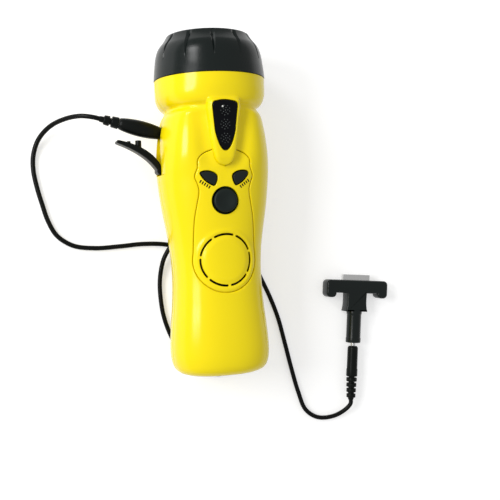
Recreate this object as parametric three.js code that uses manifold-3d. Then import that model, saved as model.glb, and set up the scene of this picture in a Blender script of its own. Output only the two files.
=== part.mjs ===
// Hand-cranked flashlight with a built-in radio, an emergency signal light and a charging lead.
// Millimetres, +Z up. The torch lies on its back: +Y runs towards the lamp and the control
// panel faces up. Inside this file y is measured from the tail end, x from the centre line and
// z from the surface that the torch rests on. The origin is moved to the heel at the end.
import * as THREE from "three";
import { mergeVertices } from "three/addons/utils/BufferGeometryUtils.js";
import Module from "manifold-3d";

const wasm = await Module();
wasm.setup();

// Driving sizes of the housing
const bodyLength = 166;
const bezelRadius = 31.2;
const bodyHalfWidth = bezelRadius;
const frontHeight = bezelRadius;
const backDepth = bezelRadius;
const wall = 2.4;
const gap = 0.3;
const overrun = 5;
const weld = 0.0005;
const cornerGap = 0.01;
const flatness = 0.08;
const axisHeight = bezelRadius;
const ringSides = 30;
const innerSides = 18;
const headSides = 32;
const dishSides = 24;
const roundSides = 16;
const smallSides = 8;
const knobSides = 12;

// Housing section along the body: place, half width, front height and back depth, as shares
const sectionShares = [
  [0.0, 0.64, 0.5, 0.66],
  [0.006, 0.735, 0.56, 0.745],
  [0.018, 0.81, 0.62, 0.825],
  [0.036, 0.852, 0.66, 0.868],
  [0.066, 0.878, 0.683, 0.883],
  [0.11, 0.878, 0.687, 0.885],
  [0.18, 0.85, 0.672, 0.885],
  [0.26, 0.81, 0.65, 0.885],
  [0.35, 0.792, 0.637, 0.885],
  [0.43, 0.815, 0.65, 0.885],
  [0.5, 0.87, 0.682, 0.885],
  [0.57, 0.934, 0.722, 0.885],
  [0.64, 0.98, 0.765, 0.885],
  [0.705, 1.0, 0.806, 0.885],
  [0.765, 0.985, 0.838, 0.885],
  [0.82, 0.945, 0.853, 0.885],
  [0.865, 0.892, 0.855, 0.88],
  [0.89, 0.846, 0.862, 0.878],
  [0.901, 0.848, 0.853, 0.866],
  [0.912, 0.898, 0.902, 0.905],
  [0.935, 0.96, 0.957, 0.957],
  [0.963, 0.984, 0.984, 0.984],
  [1.0, 0.993, 0.993, 0.993],
];
const frontSquareness = 2.25;
const backSquareness = 2.7;
const collarStartShare = 0.892;

// Raised ridge round the signal window
const ridgeLength = 41.4;
const ridgeInset = 8;
const ridgeEnd = bodyLength - ridgeInset;
const ridgeStart = ridgeEnd - ridgeLength;
const ridgeHalfWidth = 9.4;
const ridgeShares = [
  [0.0, 0.06, 0.0],
  [0.012, 0.21, 0.06],
  [0.03, 0.35, 0.15],
  [0.06, 0.48, 0.26],
  [0.12, 0.6, 0.42],
  [0.3, 0.76, 0.56],
  [0.55, 0.87, 0.74],
  [0.8, 1.0, 0.95],
  [0.93, 1.12, 1.0],
  [1.0, 1.35, 1.0],
];
const ridgeRise = 4.4;
const ridgeSink = 6.6;
const ridgeFoot = frontHeight - ridgeSink;
const valleyRadius = 5;
const valleyDepth = 0.9;
const valleyOffset = 3;
const valleyEndShare = 0.74;
const valleySides = 8;
const windowInset = 15.6;
const windowLength = 25.8;
const windowTop = bodyLength - windowInset;
const windowTip = windowTop - windowLength;
const windowHalfWidth = 6.9;
const windowThickness = 1.8;
const windowRecess = 0.4;

// Control panel and its buttons
const panelLap = 0.7;
const panelReach = 59.5;
const panelTop = windowTip + panelLap;
const speakerStation = panelTop - panelReach;
const panelRingRadius = 17.6;
const speakerRise = 0.45;
const panelThickness = 1.3;
const panelJoin = 0.2;
const panelSideShares = [
  [0.37, 0.93],
  [0.5, 0.86],
  [0.63, 0.79],
  [0.7, 0.84],
  [0.765, 0.915],
  [0.84, 0.83],
  [0.915, 0.81],
  [0.97, 0.62],
  [1.0, 0.36],
];
const slotRadius = 14;
const slotWidth = 0.9;
const slotCount = 7;
const slotBridgeAngle = 0.17;
const slotTurn = 0.09;
const powerInset = 27.3;
const powerStation = panelTop - powerInset;
const powerRadius = 6.4;
const powerRise = 0.9;
const powerRim = 1.1;
const leafOuterX = 13.4;
const leafInnerX = 4.2;
const leafInset = 11.7;
const leafLength = 8;
const leafTopStation = panelTop - leafInset;
const leafTipStation = leafTopStation - leafLength;
const leafTipX = 5.9;
const leafRise = 0.7;
const leafShoulderShare = 0.7;
const leafCrownShare = 0.45;
const leafBellyShares = [0.55, 0.35];
const buttonClearance = 0.35;
const buttonDepth = 5.2;
const buttonTravel = 1.1;
const stemRadius = 1.6;

// Head of the torch
const bezelLength = 24.8;
const bezelTaper = 1.6;
const bezelRound = 6.4;
const bezelWall = 4;
const bezelFrontRadius = bezelRadius - bezelTaper;
const bezelRimRadius = bezelFrontRadius - bezelRound;
const bezelShoulderSetback = 10.9;
const bezelShoulder = bodyLength + bezelShoulderSetback;
const bezelRoundShares = [
  [0.0, 1.0],
  [0.25, 0.895],
  [0.61, 0.61],
  [0.895, 0.25],
  [1.0, 0.0],
];
const notchCount = 12;
const notchPhase = -9;
const notchLength = 15.6;
const notchHalfWidth = 1.7;
const notchDepth = 1.3;
const spigotWall = 2.3;
const spigotRadius = bezelRadius - bezelWall - gap;
const spigotBore = spigotRadius - spigotWall;
const spigotLength = 10;
const lensInset = 1;
const lensLap = 3.3;
const lensRadius = spigotRadius - lensInset;
const bezelOpening = lensRadius - lensLap;
const lensThickness = 2.5;
const flangeThickness = 1.5;
const sealWidth = 1.7;
const sealThickness = 1.5;
const reflectorDepth = 16.4;
const reflectorFloor = 9.6;
const reflectorWall = 1.4;
const ledRadius = 2.5;
const ledFlange = 0.45;
const ledFlangeHeight = 1.1;
const ledBody = 6;
const ledCircle = 5.2;
const ledCount = 3;
const boardThickness = 1.6;

// Crank on the back
const hubInset = 80;
const hubStation = bodyLength - hubInset;
const sweepRadius = 41;
const saddleDrop = 11.7;
const saddleHeight = axisHeight - saddleDrop;
const saddleMargin = 1.6;
const saddleDraft = 3.4;
const hubRadius = 10;
const hubThickness = 3.3;
const shaftRadius = 3;
const armThickness = 6;
const armHalfWidth = 9.6;
const forkPivot = 34.5;
const forkHalfGap = 6.2;
const knobRadius = 5.6;
const knobLength = 20;
const knobBore = 2.4;
const knobEnd = 2;
const axleRadius = 2;
const bracketHalf = 3.6;
const hingePinRadius = 1.3;

// Gear train
const wheelRadius = 15;
const wheelTeeth = 30;
const pinionTeeth = 10;
const gearModule = (2 * wheelRadius) / wheelTeeth;
const pinionRadius = (gearModule * pinionTeeth) / 2;
const addendumShare = 0.8;
const dedendumShare = 1.15;
const backlash = 0.3;
const pressureAngle = 20;
const centreSlack = 0.1;
const gearThickness = 2.4;
const gearFloorGap = 1;
const gearLevelGap = 0.7;
const arborRadius = 1.6;
const plateThickness = 1.6;
const pillarRadius = 2.8;
const rotorRadius = 8.8;
const rotorInset = 1;
const statorRadius = 13.4;
const statorWall = 4;
const boardClearance = 3.6;

// Inside the body
const cellRadius = 5.1;
const cellLength = 44.5;
const cellCount = 3;
const cellTipRadius = 2;
const cellTip = 1;
const trayWall = 1.2;
const speakerRadius = 14.4;
const speakerClearance = 1.8;
const magnetRadius = 8;
const mainBoardDrop = 12.1;
const mainBoardHalfWidth = 16.5;
const mainBoardLength = 47;
const mainBoardLead = 14;
const mainBoardStart = powerStation - mainBoardLead;
const mainBoardEnd = mainBoardStart + mainBoardLength;
const postRadius = 2;
const postInset = 3.4;
const switchSide = 6;
const switchHeight = 2.6;
const signalSlack = 0.1;
const signalBoardHalfWidth = 4.4;
const signalLedPitch = 7;
const signalLedInset = 6.7;
const signalLedFirst = windowTip + signalLedInset;
const screwTailInset = 14.7;
const screwTailX = bodyHalfWidth - screwTailInset;
const screwTailStation = 11;
const screwNeckInset = 12.6;
const screwNeckX = bodyHalfWidth - screwNeckInset;
const screwNeckSetback = 17.4;
const screwNeckStation = bodyLength - screwNeckSetback;
const bossRadius = 3.4;
const screwRadius = 1.3;
const screwHeadRadius = 2.6;
const screwHeadHeight = 1.8;
const screwLength = 13;
const screwSeatDepth = 4.5;

// Heel pad
const heelStation = 25;
const heelHalfWidth = 11;
const heelHalfLength = 12;
const heelCorner = 4;
const heelHeight = 3.3;

// Jack recess, flap, plug and lead
const jackSetback = 28.6;
const jackStation = bodyLength - jackSetback;
const jackDrop = 5.8;
const jackHeight = axisHeight - jackDrop;
const jackTilt = 14;
const recessDepth = 4;
const recessLength = 33.8;
const recessMargin = 9.8;
const recessFloor = bodyHalfWidth - recessDepth;
const recessEnd = jackStation + recessMargin;
const recessStart = recessEnd - recessLength;
const recessHalfHeight = 4.5;
const padThickness = 4;
const socketRadius = 4;
const socketBore = 2.15;
const socketLength = 15;
const pinRadius = 1.75;
const pinLength = 14;
const plugRadius = 3.25;
const plugLength = 24.4;
const plugNeck = 0.6;
const reliefRingRadius = 3.4;
const reliefCoreRadius = 1.9;
const reliefLength = 9.4;
const flapRootRadius = 2.2;
const flapInset = 3.2;
const flapPivotX = -(recessFloor + flapRootRadius);
const flapPivotStation = recessStart + flapInset;
const flapThickness = 2.9;
const flapHalfHeight = 4;
const flapReachX = 23;
const flapReachY = 16.4;
const flapPegShare = 0.5;
const flapPegHeight = 2.6;
const flapPegHalfWidth = 1.3;
const cordRadius = 1.35;
const cordSides = 8;
const cordSteps = 72;
const farPlugX = 90.6;
const farPlugStation = -26.2;
const farPlugTurn = -5;
const farReliefLength = 13.4;
const farPlugRadius = 3.5;
const farPlugLength = 19;
const farGap = 2.2;
const barrelRadius = 4.8;
const farPlugLevel = barrelRadius;
const barrelLength = 19.6;
const blockHalfWidth = 7.4;
const blockLength = 13;
const crossHalfWidth = 20.6;
const crossLength = 6.6;
const earRadius = 4.4;
const adapterHalfHeight = 4.6;
const contactHalfWidth = 9;
const contactLength = 3.4;
const contactHalfHeight = 1.4;

// Places worked out from the driving sizes
const frontOf = station => sampleShares(sectionShares, station / bodyLength, 2) * frontHeight;
const backOf = station => sampleShares(sectionShares, station / bodyLength, 3) * backDepth;
const halfWidthOf = station => sampleShares(sectionShares, station / bodyLength, 1) * bodyHalfWidth;
const domeOf = (x, station) => {
  const share = Math.min(Math.abs(x) / halfWidthOf(station), 1) ** frontSquareness;
  return axisHeight + frontOf(station) * (1 - share) ** (1 / frontSquareness);
};
const mainBoardLevel = axisHeight + frontOf(powerStation) - mainBoardDrop;
const signalBoardLevel = axisHeight + crownOf(signalLedFirst) - windowRecess - windowThickness
  - gap - ledBody - gap - boardThickness - signalSlack;
const saddleInside = saddleHeight + wall;
const centreDistance = wheelRadius + pinionRadius + centreSlack;
const compoundStation = hubStation + centreDistance;
const rotorStation = compoundStation + centreDistance;
const firstLevel = saddleInside + gearFloorGap;
const secondLevel = firstLevel + gearThickness + gearLevelGap;
const plateLevel = secondLevel + gearThickness + gearLevelGap;
const drumLevel = plateLevel + plateThickness + gap;
const statorHeight = mainBoardLevel - drumLevel - boardClearance;
const rotorHeight = statorHeight - rotorInset;
const cellStart = hubStation - wheelRadius - gearModule - wall - trayWall - gap - cellLength;
const cellLevel = saddleInside + gap + trayWall + gap + cellRadius;

// Materials
const yellow = new THREE.MeshStandardMaterial({ color: 0xf2e20a, roughness: 0.3, metalness: 0 });
const black = new THREE.MeshStandardMaterial({ color: 0x1a1e1f, roughness: 0.4, metalness: 0 });
const rubber = new THREE.MeshStandardMaterial({ color: 0x15191a, roughness: 0.6, metalness: 0 });
const smoked = new THREE.MeshStandardMaterial({ color: 0x0b0c10, roughness: 0.12, metalness: 0 });
const clear = new THREE.MeshStandardMaterial({ color: 0xdfe8ea, roughness: 0.08, metalness: 0 });
const silver = new THREE.MeshStandardMaterial({ color: 0xc9ccce, roughness: 0.25, metalness: 0.9 });
const steel = new THREE.MeshStandardMaterial({ color: 0x9fa3a6, roughness: 0.35, metalness: 0.9 });
const brass = new THREE.MeshStandardMaterial({ color: 0xb98f45, roughness: 0.35, metalness: 0.9 });
const copper = new THREE.MeshStandardMaterial({ color: 0xb4632e, roughness: 0.4, metalness: 0.8 });
const circuit = new THREE.MeshStandardMaterial({ color: 0x1d6b3a, roughness: 0.5, metalness: 0 });
const white = new THREE.MeshStandardMaterial({ color: 0xe9e9e2, roughness: 0.5, metalness: 0 });
const paper = new THREE.MeshStandardMaterial({ color: 0x2b2b2e, roughness: 0.9, metalness: 0 });
const cellSkin = new THREE.MeshStandardMaterial({ color: 0x3d7f55, roughness: 0.4, metalness: 0 });

// Value of a column of a share table at a place, by a smooth monotone blend between rows
function sampleShares(table, place, column) {
  const last = table.length - 1;
  const clamped = Math.min(Math.max(place, table[0][0]), table[last][0]);
  let row = 0;
  while (row < last - 1 && clamped > table[row + 1][0]) row += 1;
  const [before, after] = [table[row], table[row + 1]];
  const span = after[0] - before[0];
  const t = (clamped - before[0]) / span;
  const slopeAt = index => {
    const low = table[Math.max(index - 1, 0)];
    const high = table[Math.min(index + 1, last)];
    return (high[column] - low[column]) / (high[0] - low[0]);
  };
  const [m0, m1] = [slopeAt(row) * span, slopeAt(row + 1) * span];
  const [t2, t3] = [t * t, t * t * t];
  return (
    (2 * t3 - 3 * t2 + 1) * before[column] +
    (t3 - 2 * t2 + t) * m0 +
    (3 * t2 - 2 * t3) * after[column] +
    (t3 - t2) * m1
  );
}

// Closed geometry as a solid, with shared corners merged and its faces turned outwards
function solidOf(geometry) {
  const bare = geometry.clone();
  bare.deleteAttribute("normal");
  bare.deleteAttribute("uv");
  const merged = mergeVertices(bare, weld);
  const points = merged.attributes.position.array;
  const corners = merged.index.array;
  const kept = [];
  let volume = 0;
  const [a, b, c] = [new THREE.Vector3(), new THREE.Vector3(), new THREE.Vector3()];
  for (let i = 0; i < corners.length; i += 3) {
    const [p, q, r] = [corners[i], corners[i + 1], corners[i + 2]];
    if (p === q || q === r || r === p) continue;
    kept.push([p, q, r]);
    a.fromArray(points, 3 * p);
    b.fromArray(points, 3 * q);
    c.fromArray(points, 3 * r);
    volume += a.dot(b.cross(c));
  }
  const turned = volume < 0 ? kept.map(([p, q, r]) => [p, r, q]) : kept;
  const mesh = new wasm.Mesh({
    numProp: 3,
    vertProperties: new Float32Array(points),
    triVerts: new Uint32Array(turned.flat()),
  });
  return new wasm.Manifold(mesh);
}

// Solid as a geometry that a mesh can hold
function geometryOf(solid) {
  const mesh = solid.getMesh();
  const geometry = new THREE.BufferGeometry();
  geometry.setAttribute("position", new THREE.BufferAttribute(new Float32Array(mesh.vertProperties), 3));
  geometry.setIndex(new THREE.BufferAttribute(new Uint32Array(mesh.triVerts), 1));
  geometry.computeVertexNormals();
  return geometry;
}

// Named mesh of a solid, hung in a group
function addPiece(group, name, solid, material) {
  const mesh = new THREE.Mesh(geometryOf(solid), material);
  mesh.name = name;
  group.add(mesh);
  return mesh;
}

// Box given by its lowest and highest corners
function block(low, high) {
  const size = high.map((value, i) => value - low[i]);
  const geometry = new THREE.BoxGeometry(...size);
  geometry.translate(...low.map((value, i) => value + size[i] / 2));
  return solidOf(geometry);
}

// Round bar along Z from a base point
function bar(radius, length, [x, y, z], sides = roundSides) {
  const geometry = new THREE.CylinderGeometry(radius, radius, length, sides);
  geometry.rotateX(Math.PI / 2);
  geometry.translate(x, y, z + length / 2);
  return solidOf(geometry);
}

// Revolved profile of [radius, height] pairs about Z, moved to a base point
function turned(profile, [x, y, z], sides = roundSides) {
  const geometry = new THREE.LatheGeometry(profile.map(([r, h]) => new THREE.Vector2(r, h)), sides);
  geometry.rotateX(Math.PI / 2);
  geometry.translate(x, y, z);
  return solidOf(geometry);
}

// Revolved profile of [radius, station] pairs about the long axis of the torch
function turnedAlong(profile, sides) {
  const geometry = new THREE.LatheGeometry(profile.map(([r, y]) => new THREE.Vector2(r, y)), sides);
  geometry.translate(0, 0, axisHeight);
  return solidOf(geometry);
}

// Corners of a run that keep it within the flatness of its full curve
function thinned(points) {
  const [first, last] = [points[0], points.at(-1)];
  const along = last.clone().sub(first);
  const length = along.length();
  let [far, index] = [0, 0];
  for (let i = 1; i < points.length - 1; i += 1) {
    const offset = points[i].clone().sub(first);
    const distance = length < cornerGap ? offset.length() : Math.abs(along.cross(offset)) / length;
    if (distance > far) [far, index] = [distance, i];
  }
  if (far < flatness) return [first, last];
  return [...thinned(points.slice(0, index + 1)).slice(0, -1), ...thinned(points.slice(index))];
}

// Outline as plain corners, with neighbours that fall on each other merged
function cleanShape(shape, steps) {
  const kept = [];
  for (const point of shape.getPoints(steps)) {
    if (kept.length === 0 || point.distanceTo(kept.at(-1)) > cornerGap) kept.push(point);
  }
  while (kept.at(-1).distanceTo(kept[0]) < cornerGap) kept.pop();
  return new THREE.Shape(thinned([...kept, kept[0].clone()]).slice(0, -1));
}

// Flat outline in x and y, raised from one height to another
function raised(shape, low, high, steps = roundSides) {
  const settings = { depth: high - low, bevelEnabled: false };
  const geometry = new THREE.ExtrudeGeometry(cleanShape(shape, steps), settings);
  geometry.translate(0, 0, low);
  return solidOf(geometry);
}

// Closed skin through rings of points, with a fan over each end
function loft(rings) {
  const sides = rings[0].length;
  const points = rings.flat();
  const corners = [];
  for (let i = 0; i + 1 < rings.length; i += 1) {
    for (let j = 0; j < sides; j += 1) {
      const [a, b] = [i * sides + j, i * sides + ((j + 1) % sides)];
      corners.push(a, b, b + sides, a, b + sides, a + sides);
    }
  }
  for (const [start, flip] of [[0, true], [(rings.length - 1) * sides, false]]) {
    const middle = new THREE.Vector3();
    for (let j = 0; j < sides; j += 1) middle.add(points[start + j]);
    points.push(middle.divideScalar(sides));
    for (let j = 0; j < sides; j += 1) {
      const [a, b] = [start + j, start + ((j + 1) % sides)];
      corners.push(...(flip ? [points.length - 1, b, a] : [points.length - 1, a, b]));
    }
  }
  const geometry = new THREE.BufferGeometry().setFromPoints(points);
  geometry.setIndex(corners);
  return solidOf(geometry);
}

// Point of a superellipse at an angle
function ovalPoint(angle, halfWidth, height, power) {
  const [c, s] = [Math.cos(angle), Math.sin(angle)];
  const x = halfWidth * Math.sign(c) * Math.abs(c) ** (2 / power);
  return [x, height * Math.sign(s) * Math.abs(s) ** (2 / power)];
}

// Ring of the housing at a station, drawn in from its outer face by an inset
function bodyRing(station, inset, sides) {
  const blend = THREE.MathUtils.smoothstep(station / bodyLength, collarStartShare, 1);
  const ring = [];
  for (let i = 0; i < sides; i += 1) {
    const angle = (2 * Math.PI * i) / sides;
    const isFront = Math.sin(angle) >= 0;
    const square = isFront ? frontSquareness : backSquareness;
    const height = (isFront ? frontOf(station) : backOf(station)) - inset;
    const power = THREE.MathUtils.lerp(square, 2, blend);
    const [x, z] = ovalPoint(angle, halfWidthOf(station) - inset, height, power);
    ring.push(new THREE.Vector3(x, station, axisHeight + z));
  }
  return ring;
}

// Housing volume, drawn in by an inset, between two stations
function bodySkin(inset, from, to) {
  const stations = sectionShares.map(row => row[0] * bodyLength).filter(y => y > from && y < to);
  return loft([from, ...stations, to].map(station => bodyRing(station, inset, ringSides)));
}

// Volume inside a face of the housing, in fewer and wider facets than its outer skin
function bodyHollow(inset, from, to) {
  const stations = sectionShares
    .filter((row, i) => i % 2 === 0)
    .map(row => row[0] * bodyLength)
    .filter(y => y > from + wall && y < to - wall / 2);
  return loft([from, ...stations, to].map(station => bodyRing(station, inset, innerSides)));
}

// Height of the front shell's inner face over a point
function hollowTop(station, x) {
  const height = frontOf(station) - wall;
  const share = (x / (halfWidthOf(station) - wall)) ** frontSquareness;
  return axisHeight + height * (1 - share) ** (1 / frontSquareness);
}

// Height of the ridge crown above the long axis at a station
function crownOf(station) {
  const share = (station - ridgeStart) / (ridgeEnd - ridgeStart);
  const rise = sampleShares(ridgeShares, share, 2) * ridgeRise;
  return THREE.MathUtils.lerp(frontOf(ridgeStart), frontHeight - ridgeRise, share) + rise;
}

// Ridge volume over the housing, drawn in by an inset
function ridgeSkin(inset) {
  const rings = ridgeShares.map(([share, widthShare]) => {
    const station = THREE.MathUtils.lerp(ridgeStart, ridgeEnd, share);
    const halfWidth = widthShare * ridgeHalfWidth;
    const ring = [];
    const crown = crownOf(station) - inset;
    const foot = Math.min(ridgeFoot, frontOf(station)) - wall;
    for (let i = 0; i <= knobSides; i += 1) {
      const angle = (Math.PI * i) / knobSides;
      const [x, z] = ovalPoint(angle, halfWidth, crown - foot, 3);
      ring.push(new THREE.Vector3(x, station, axisHeight + foot + z));
    }
    return ring;
  });
  return loft(rings);
}

// Soft valley in the skin round the ridge: a shallow arc carried along the ridge's outline
function valleyVolume() {
  const side = ridgeShares.filter(([share]) => share > 0 && share < valleyEndShare).map(([share, width]) => (
    [width * ridgeHalfWidth + valleyOffset, THREE.MathUtils.lerp(ridgeStart, ridgeEnd, share)]
  ));
  side.push([ridgeHalfWidth + valleyOffset, THREE.MathUtils.lerp(ridgeStart, ridgeEnd, valleyEndShare)]);
  const right = side.toReversed();
  const left = side.map(([x, y]) => [-x, y]);
  const flat = [...right, [0, ridgeStart - valleyOffset], ...left];
  const course = new THREE.CatmullRomCurve3(
    flat.map(([x, y]) => new THREE.Vector3(x, y, 0)), false, "centripetal",
  ).getSpacedPoints(knobSides * 2);
  const rings = course.map((point, i) => {
    const before = course[Math.max(i - 1, 0)];
    const after = course[Math.min(i + 1, course.length - 1)];
    const along = after.clone().sub(before).normalize();
    const slopeX = (domeOf(point.x + gap, point.y) - domeOf(point.x - gap, point.y)) / (2 * gap);
    const slopeY = (domeOf(point.x, point.y + gap) - domeOf(point.x, point.y - gap)) / (2 * gap);
    const up = new THREE.Vector3(-slopeX, -slopeY, 1).normalize();
    const across = along.clone().cross(up).normalize();
    const isEnd = i === 0 || i === course.length - 1;
    const lift = valleyRadius - (isEnd ? -gap : valleyDepth);
    const centre = new THREE.Vector3(point.x, point.y, domeOf(point.x, point.y)).addScaledVector(up, lift);
    return Array.from({ length: valleySides + 1 }, (_, k) => {
      const angle = THREE.MathUtils.lerp(-Math.PI / 3, Math.PI / 3, k / valleySides);
      return centre.clone()
        .addScaledVector(across, valleyRadius * Math.sin(angle))
        .addScaledVector(up, -valleyRadius * Math.cos(angle));
    });
  });
  return loft(rings);
}

// Outline of the signal window, grown by a margin
function windowShape(margin) {
  const [tip, top, half] = [windowTip - margin, windowTop + margin, windowHalfWidth + margin];
  const shape = new THREE.Shape();
  const shoulder = top - windowHalfWidth / 3;
  const waist = THREE.MathUtils.lerp(tip, top, 0.4);
  shape.moveTo(0, tip);
  shape.bezierCurveTo(half * 0.45, tip, half * 0.72, waist - half / 3, half * 0.8, waist);
  shape.lineTo(half, shoulder);
  shape.quadraticCurveTo(half, top, half * 0.72, top);
  shape.quadraticCurveTo(0, top + windowHalfWidth / 9, -half * 0.72, top);
  shape.quadraticCurveTo(-half, top, -half, shoulder);
  shape.lineTo(-half * 0.8, waist);
  shape.bezierCurveTo(-half * 0.72, waist - half / 3, -half * 0.45, tip, 0, tip);
  return shape;
}

// Outline of the ridge seen from above, grown by a margin
function ridgeShape(margin) {
  const right = ridgeShares.map(([share, widthShare]) => {
    const station = THREE.MathUtils.lerp(ridgeStart - margin, ridgeEnd, share);
    return new THREE.Vector2(widthShare * ridgeHalfWidth + margin, station);
  });
  const left = right.toReversed().map(point => new THREE.Vector2(-point.x, point.y));
  const shape = new THREE.Shape();
  shape.moveTo(left.at(-1).x, left.at(-1).y);
  shape.lineTo(right[0].x, right[0].y);
  shape.splineThru(right.slice(1));
  shape.lineTo(left[0].x, left[0].y);
  shape.splineThru(left.slice(1));
  return shape;
}

// Outline of the control panel, grown by a margin: waisted sides over a round speaker end
function panelShape(margin) {
  const length = panelTop - speakerStation;
  const radius = panelRingRadius + margin;
  const right = panelSideShares.map(([place, width]) => {
    const y = speakerStation + place * length + (place === 1 ? margin : 0);
    return new THREE.Vector2(width * panelRingRadius + margin, y);
  });
  const shape = new THREE.Shape();
  shape.absarc(0, speakerStation, radius, Math.PI - panelJoin, 2 * Math.PI + panelJoin, false);
  const join = new THREE.Vector2(-radius * Math.cos(panelJoin), speakerStation + radius * Math.sin(panelJoin));
  shape.splineThru(right);
  shape.lineTo(-right.at(-1).x, right.at(-1).y);
  const left = right.toReversed().map(point => new THREE.Vector2(-point.x, point.y));
  shape.splineThru([...left.slice(1), join]);
  return shape;
}

// Outline of a leaf-shaped button on one side, grown by a margin
function leafShape(side, margin) {
  const outer = new THREE.Vector2(leafOuterX + margin, leafTopStation);
  const tip = new THREE.Vector2(leafTipX, leafTipStation - margin);
  const inner = new THREE.Vector2(leafInnerX - margin, THREE.MathUtils.lerp(tip.y, outer.y, leafShoulderShare));
  const shape = new THREE.Shape();
  shape.moveTo(side * outer.x, outer.y);
  shape.bezierCurveTo(
    side * THREE.MathUtils.lerp(outer.x, tip.x, leafCrownShare), outer.y + leafTipX / 3 + margin,
    side * inner.x, outer.y + margin,
    side * inner.x, inner.y,
  );
  shape.quadraticCurveTo(side * inner.x, (inner.y + tip.y) / 2, side * tip.x, tip.y);
  shape.quadraticCurveTo(
    side * (THREE.MathUtils.lerp(tip.x, outer.x, leafBellyShares[0]) + margin / 2),
    THREE.MathUtils.lerp(tip.y, outer.y, leafBellyShares[1]) - margin,
    side * outer.x, outer.y,
  );
  return shape;
}

// Round outline
function discShape(radius, x, y) {
  const shape = new THREE.Shape();
  shape.absarc(x, y, radius, 0, 2 * Math.PI, false);
  return shape;
}

// Rectangle with round corners about a centre
function roundedShape(halfX, halfY, corner, x, y) {
  const shape = new THREE.Shape();
  shape.absarc(x + halfX - corner, y + halfY - corner, corner, 0, Math.PI / 2);
  shape.absarc(x - halfX + corner, y + halfY - corner, corner, Math.PI / 2, Math.PI);
  shape.absarc(x - halfX + corner, y - halfY + corner, corner, Math.PI, 1.5 * Math.PI);
  shape.absarc(x + halfX - corner, y - halfY + corner, corner, 1.5 * Math.PI, 2 * Math.PI);
  return shape;
}

const highest = axisHeight + frontHeight + overrun;
const screwPlaces = [
  [-screwTailX, screwTailStation],
  [screwTailX, screwTailStation],
  [-screwNeckX, screwNeckStation],
  [screwNeckX, screwNeckStation],
];

// Whole housing as one hollow casting, before it is split
function outerVolume() {
  const spigot = turnedAlong([
    [0, bodyLength - wall],
    [spigotRadius, bodyLength - wall],
    [spigotRadius, bodyLength + spigotLength],
    [0, bodyLength + spigotLength],
  ], headSides);
  return bodySkin(0, 0, bodyLength).subtract(valleyVolume()).add(spigot).add(ridgeSkin(0));
}

function innerVolume() {
  const bore = turnedAlong([
    [0, bodyLength - wall - overrun],
    [spigotBore, bodyLength - wall - overrun],
    [spigotBore, bodyLength + spigotLength + overrun],
    [0, bodyLength + spigotLength + overrun],
  ], headSides);
  return bodyHollow(wall, wall, bodyLength - wall).add(bore);
}

// Space under the torch that the crank sweeps, grown into the housing by a margin
function saddleVolume(margin) {
  const reach = sweepRadius + saddleMargin + margin;
  const profile = new THREE.Shape();
  profile.moveTo(-reach - saddleDraft, -overrun);
  profile.lineTo(-reach, saddleHeight + margin);
  profile.lineTo(reach, saddleHeight + margin);
  profile.lineTo(reach + saddleDraft, -overrun);
  profile.closePath();
  const width = 2 * (bodyHalfWidth + overrun);
  const geometry = new THREE.ExtrudeGeometry(profile, { depth: width, bevelEnabled: false });
  geometry.translate(0, 0, -width / 2);
  geometry.rotateX(Math.PI / 2);
  geometry.rotateZ(Math.PI / 2);
  geometry.translate(0, hubStation, 0);
  return solidOf(geometry);
}

// Hole for a button through panel and shell
function buttonHoles(margin) {
  const power = raised(discShape(powerRadius + margin, 0, powerStation), axisHeight, highest);
  const left = raised(leafShape(-1, margin), axisHeight, highest, 6);
  const right = raised(leafShape(1, margin), axisHeight, highest, 6);
  return power.add(left).add(right);
}

function addFrontShell(group) {
  const above = block(
    [-bodyHalfWidth - overrun, -overrun, axisHeight],
    [bodyHalfWidth + overrun, bodyLength + spigotLength + overrun, highest + overrun],
  );
  let shell = outerVolume().subtract(innerVolume()).intersect(above);
  const floorInset = panelThickness + gap;
  const pocket = raised(panelShape(gap), axisHeight, highest)
    .subtract(raised(ridgeShape(0), 0, highest + overrun))
    .subtract(bodyHollow(floorInset, floorInset, bodyLength - floorInset));
  const windowPocket = raised(windowShape(gap), axisHeight, highest)
    .subtract(ridgeSkin(windowRecess + windowThickness + gap));
  shell = shell.subtract(pocket).subtract(windowPocket).subtract(buttonHoles(buttonClearance));
  shell = shell.subtract(raised(discShape(slotRadius - slotWidth, 0, speakerStation), axisHeight, highest));
  for (let i = 0; i < ledCount; i += 1) {
    const station = signalLedFirst + i * signalLedPitch;
    shell = shell.subtract(bar(ledRadius + gap, highest, [0, station, axisHeight], smallSides));
  }
  const underPanel = bodySkin((floorInset + wall) / 2, wall, bodyLength - wall);
  for (const x of [-mainBoardHalfWidth + postInset, mainBoardHalfWidth - postInset]) {
    for (const y of [mainBoardStart + postInset, mainBoardEnd - postInset]) {
      const base = mainBoardLevel + boardThickness + gap;
      shell = shell.add(bar(postRadius, frontHeight, [x, y, base], smallSides).intersect(underPanel));
    }
  }
  const bossTop = axisHeight + frontHeight;
  const halfWall = bodySkin(wall / 2, wall / 2, bodyLength);
  for (const [x, y] of screwPlaces) {
    const boss = bar(bossRadius, bossTop, [x, y, axisHeight + gap], smallSides);
    shell = shell.add(boss.intersect(halfWall));
    shell = shell.subtract(bar(screwRadius + gap, screwLength, [x, y, axisHeight - overrun], smallSides));
  }
  addPiece(group, "front_shell", shell, yellow);
}

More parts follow.
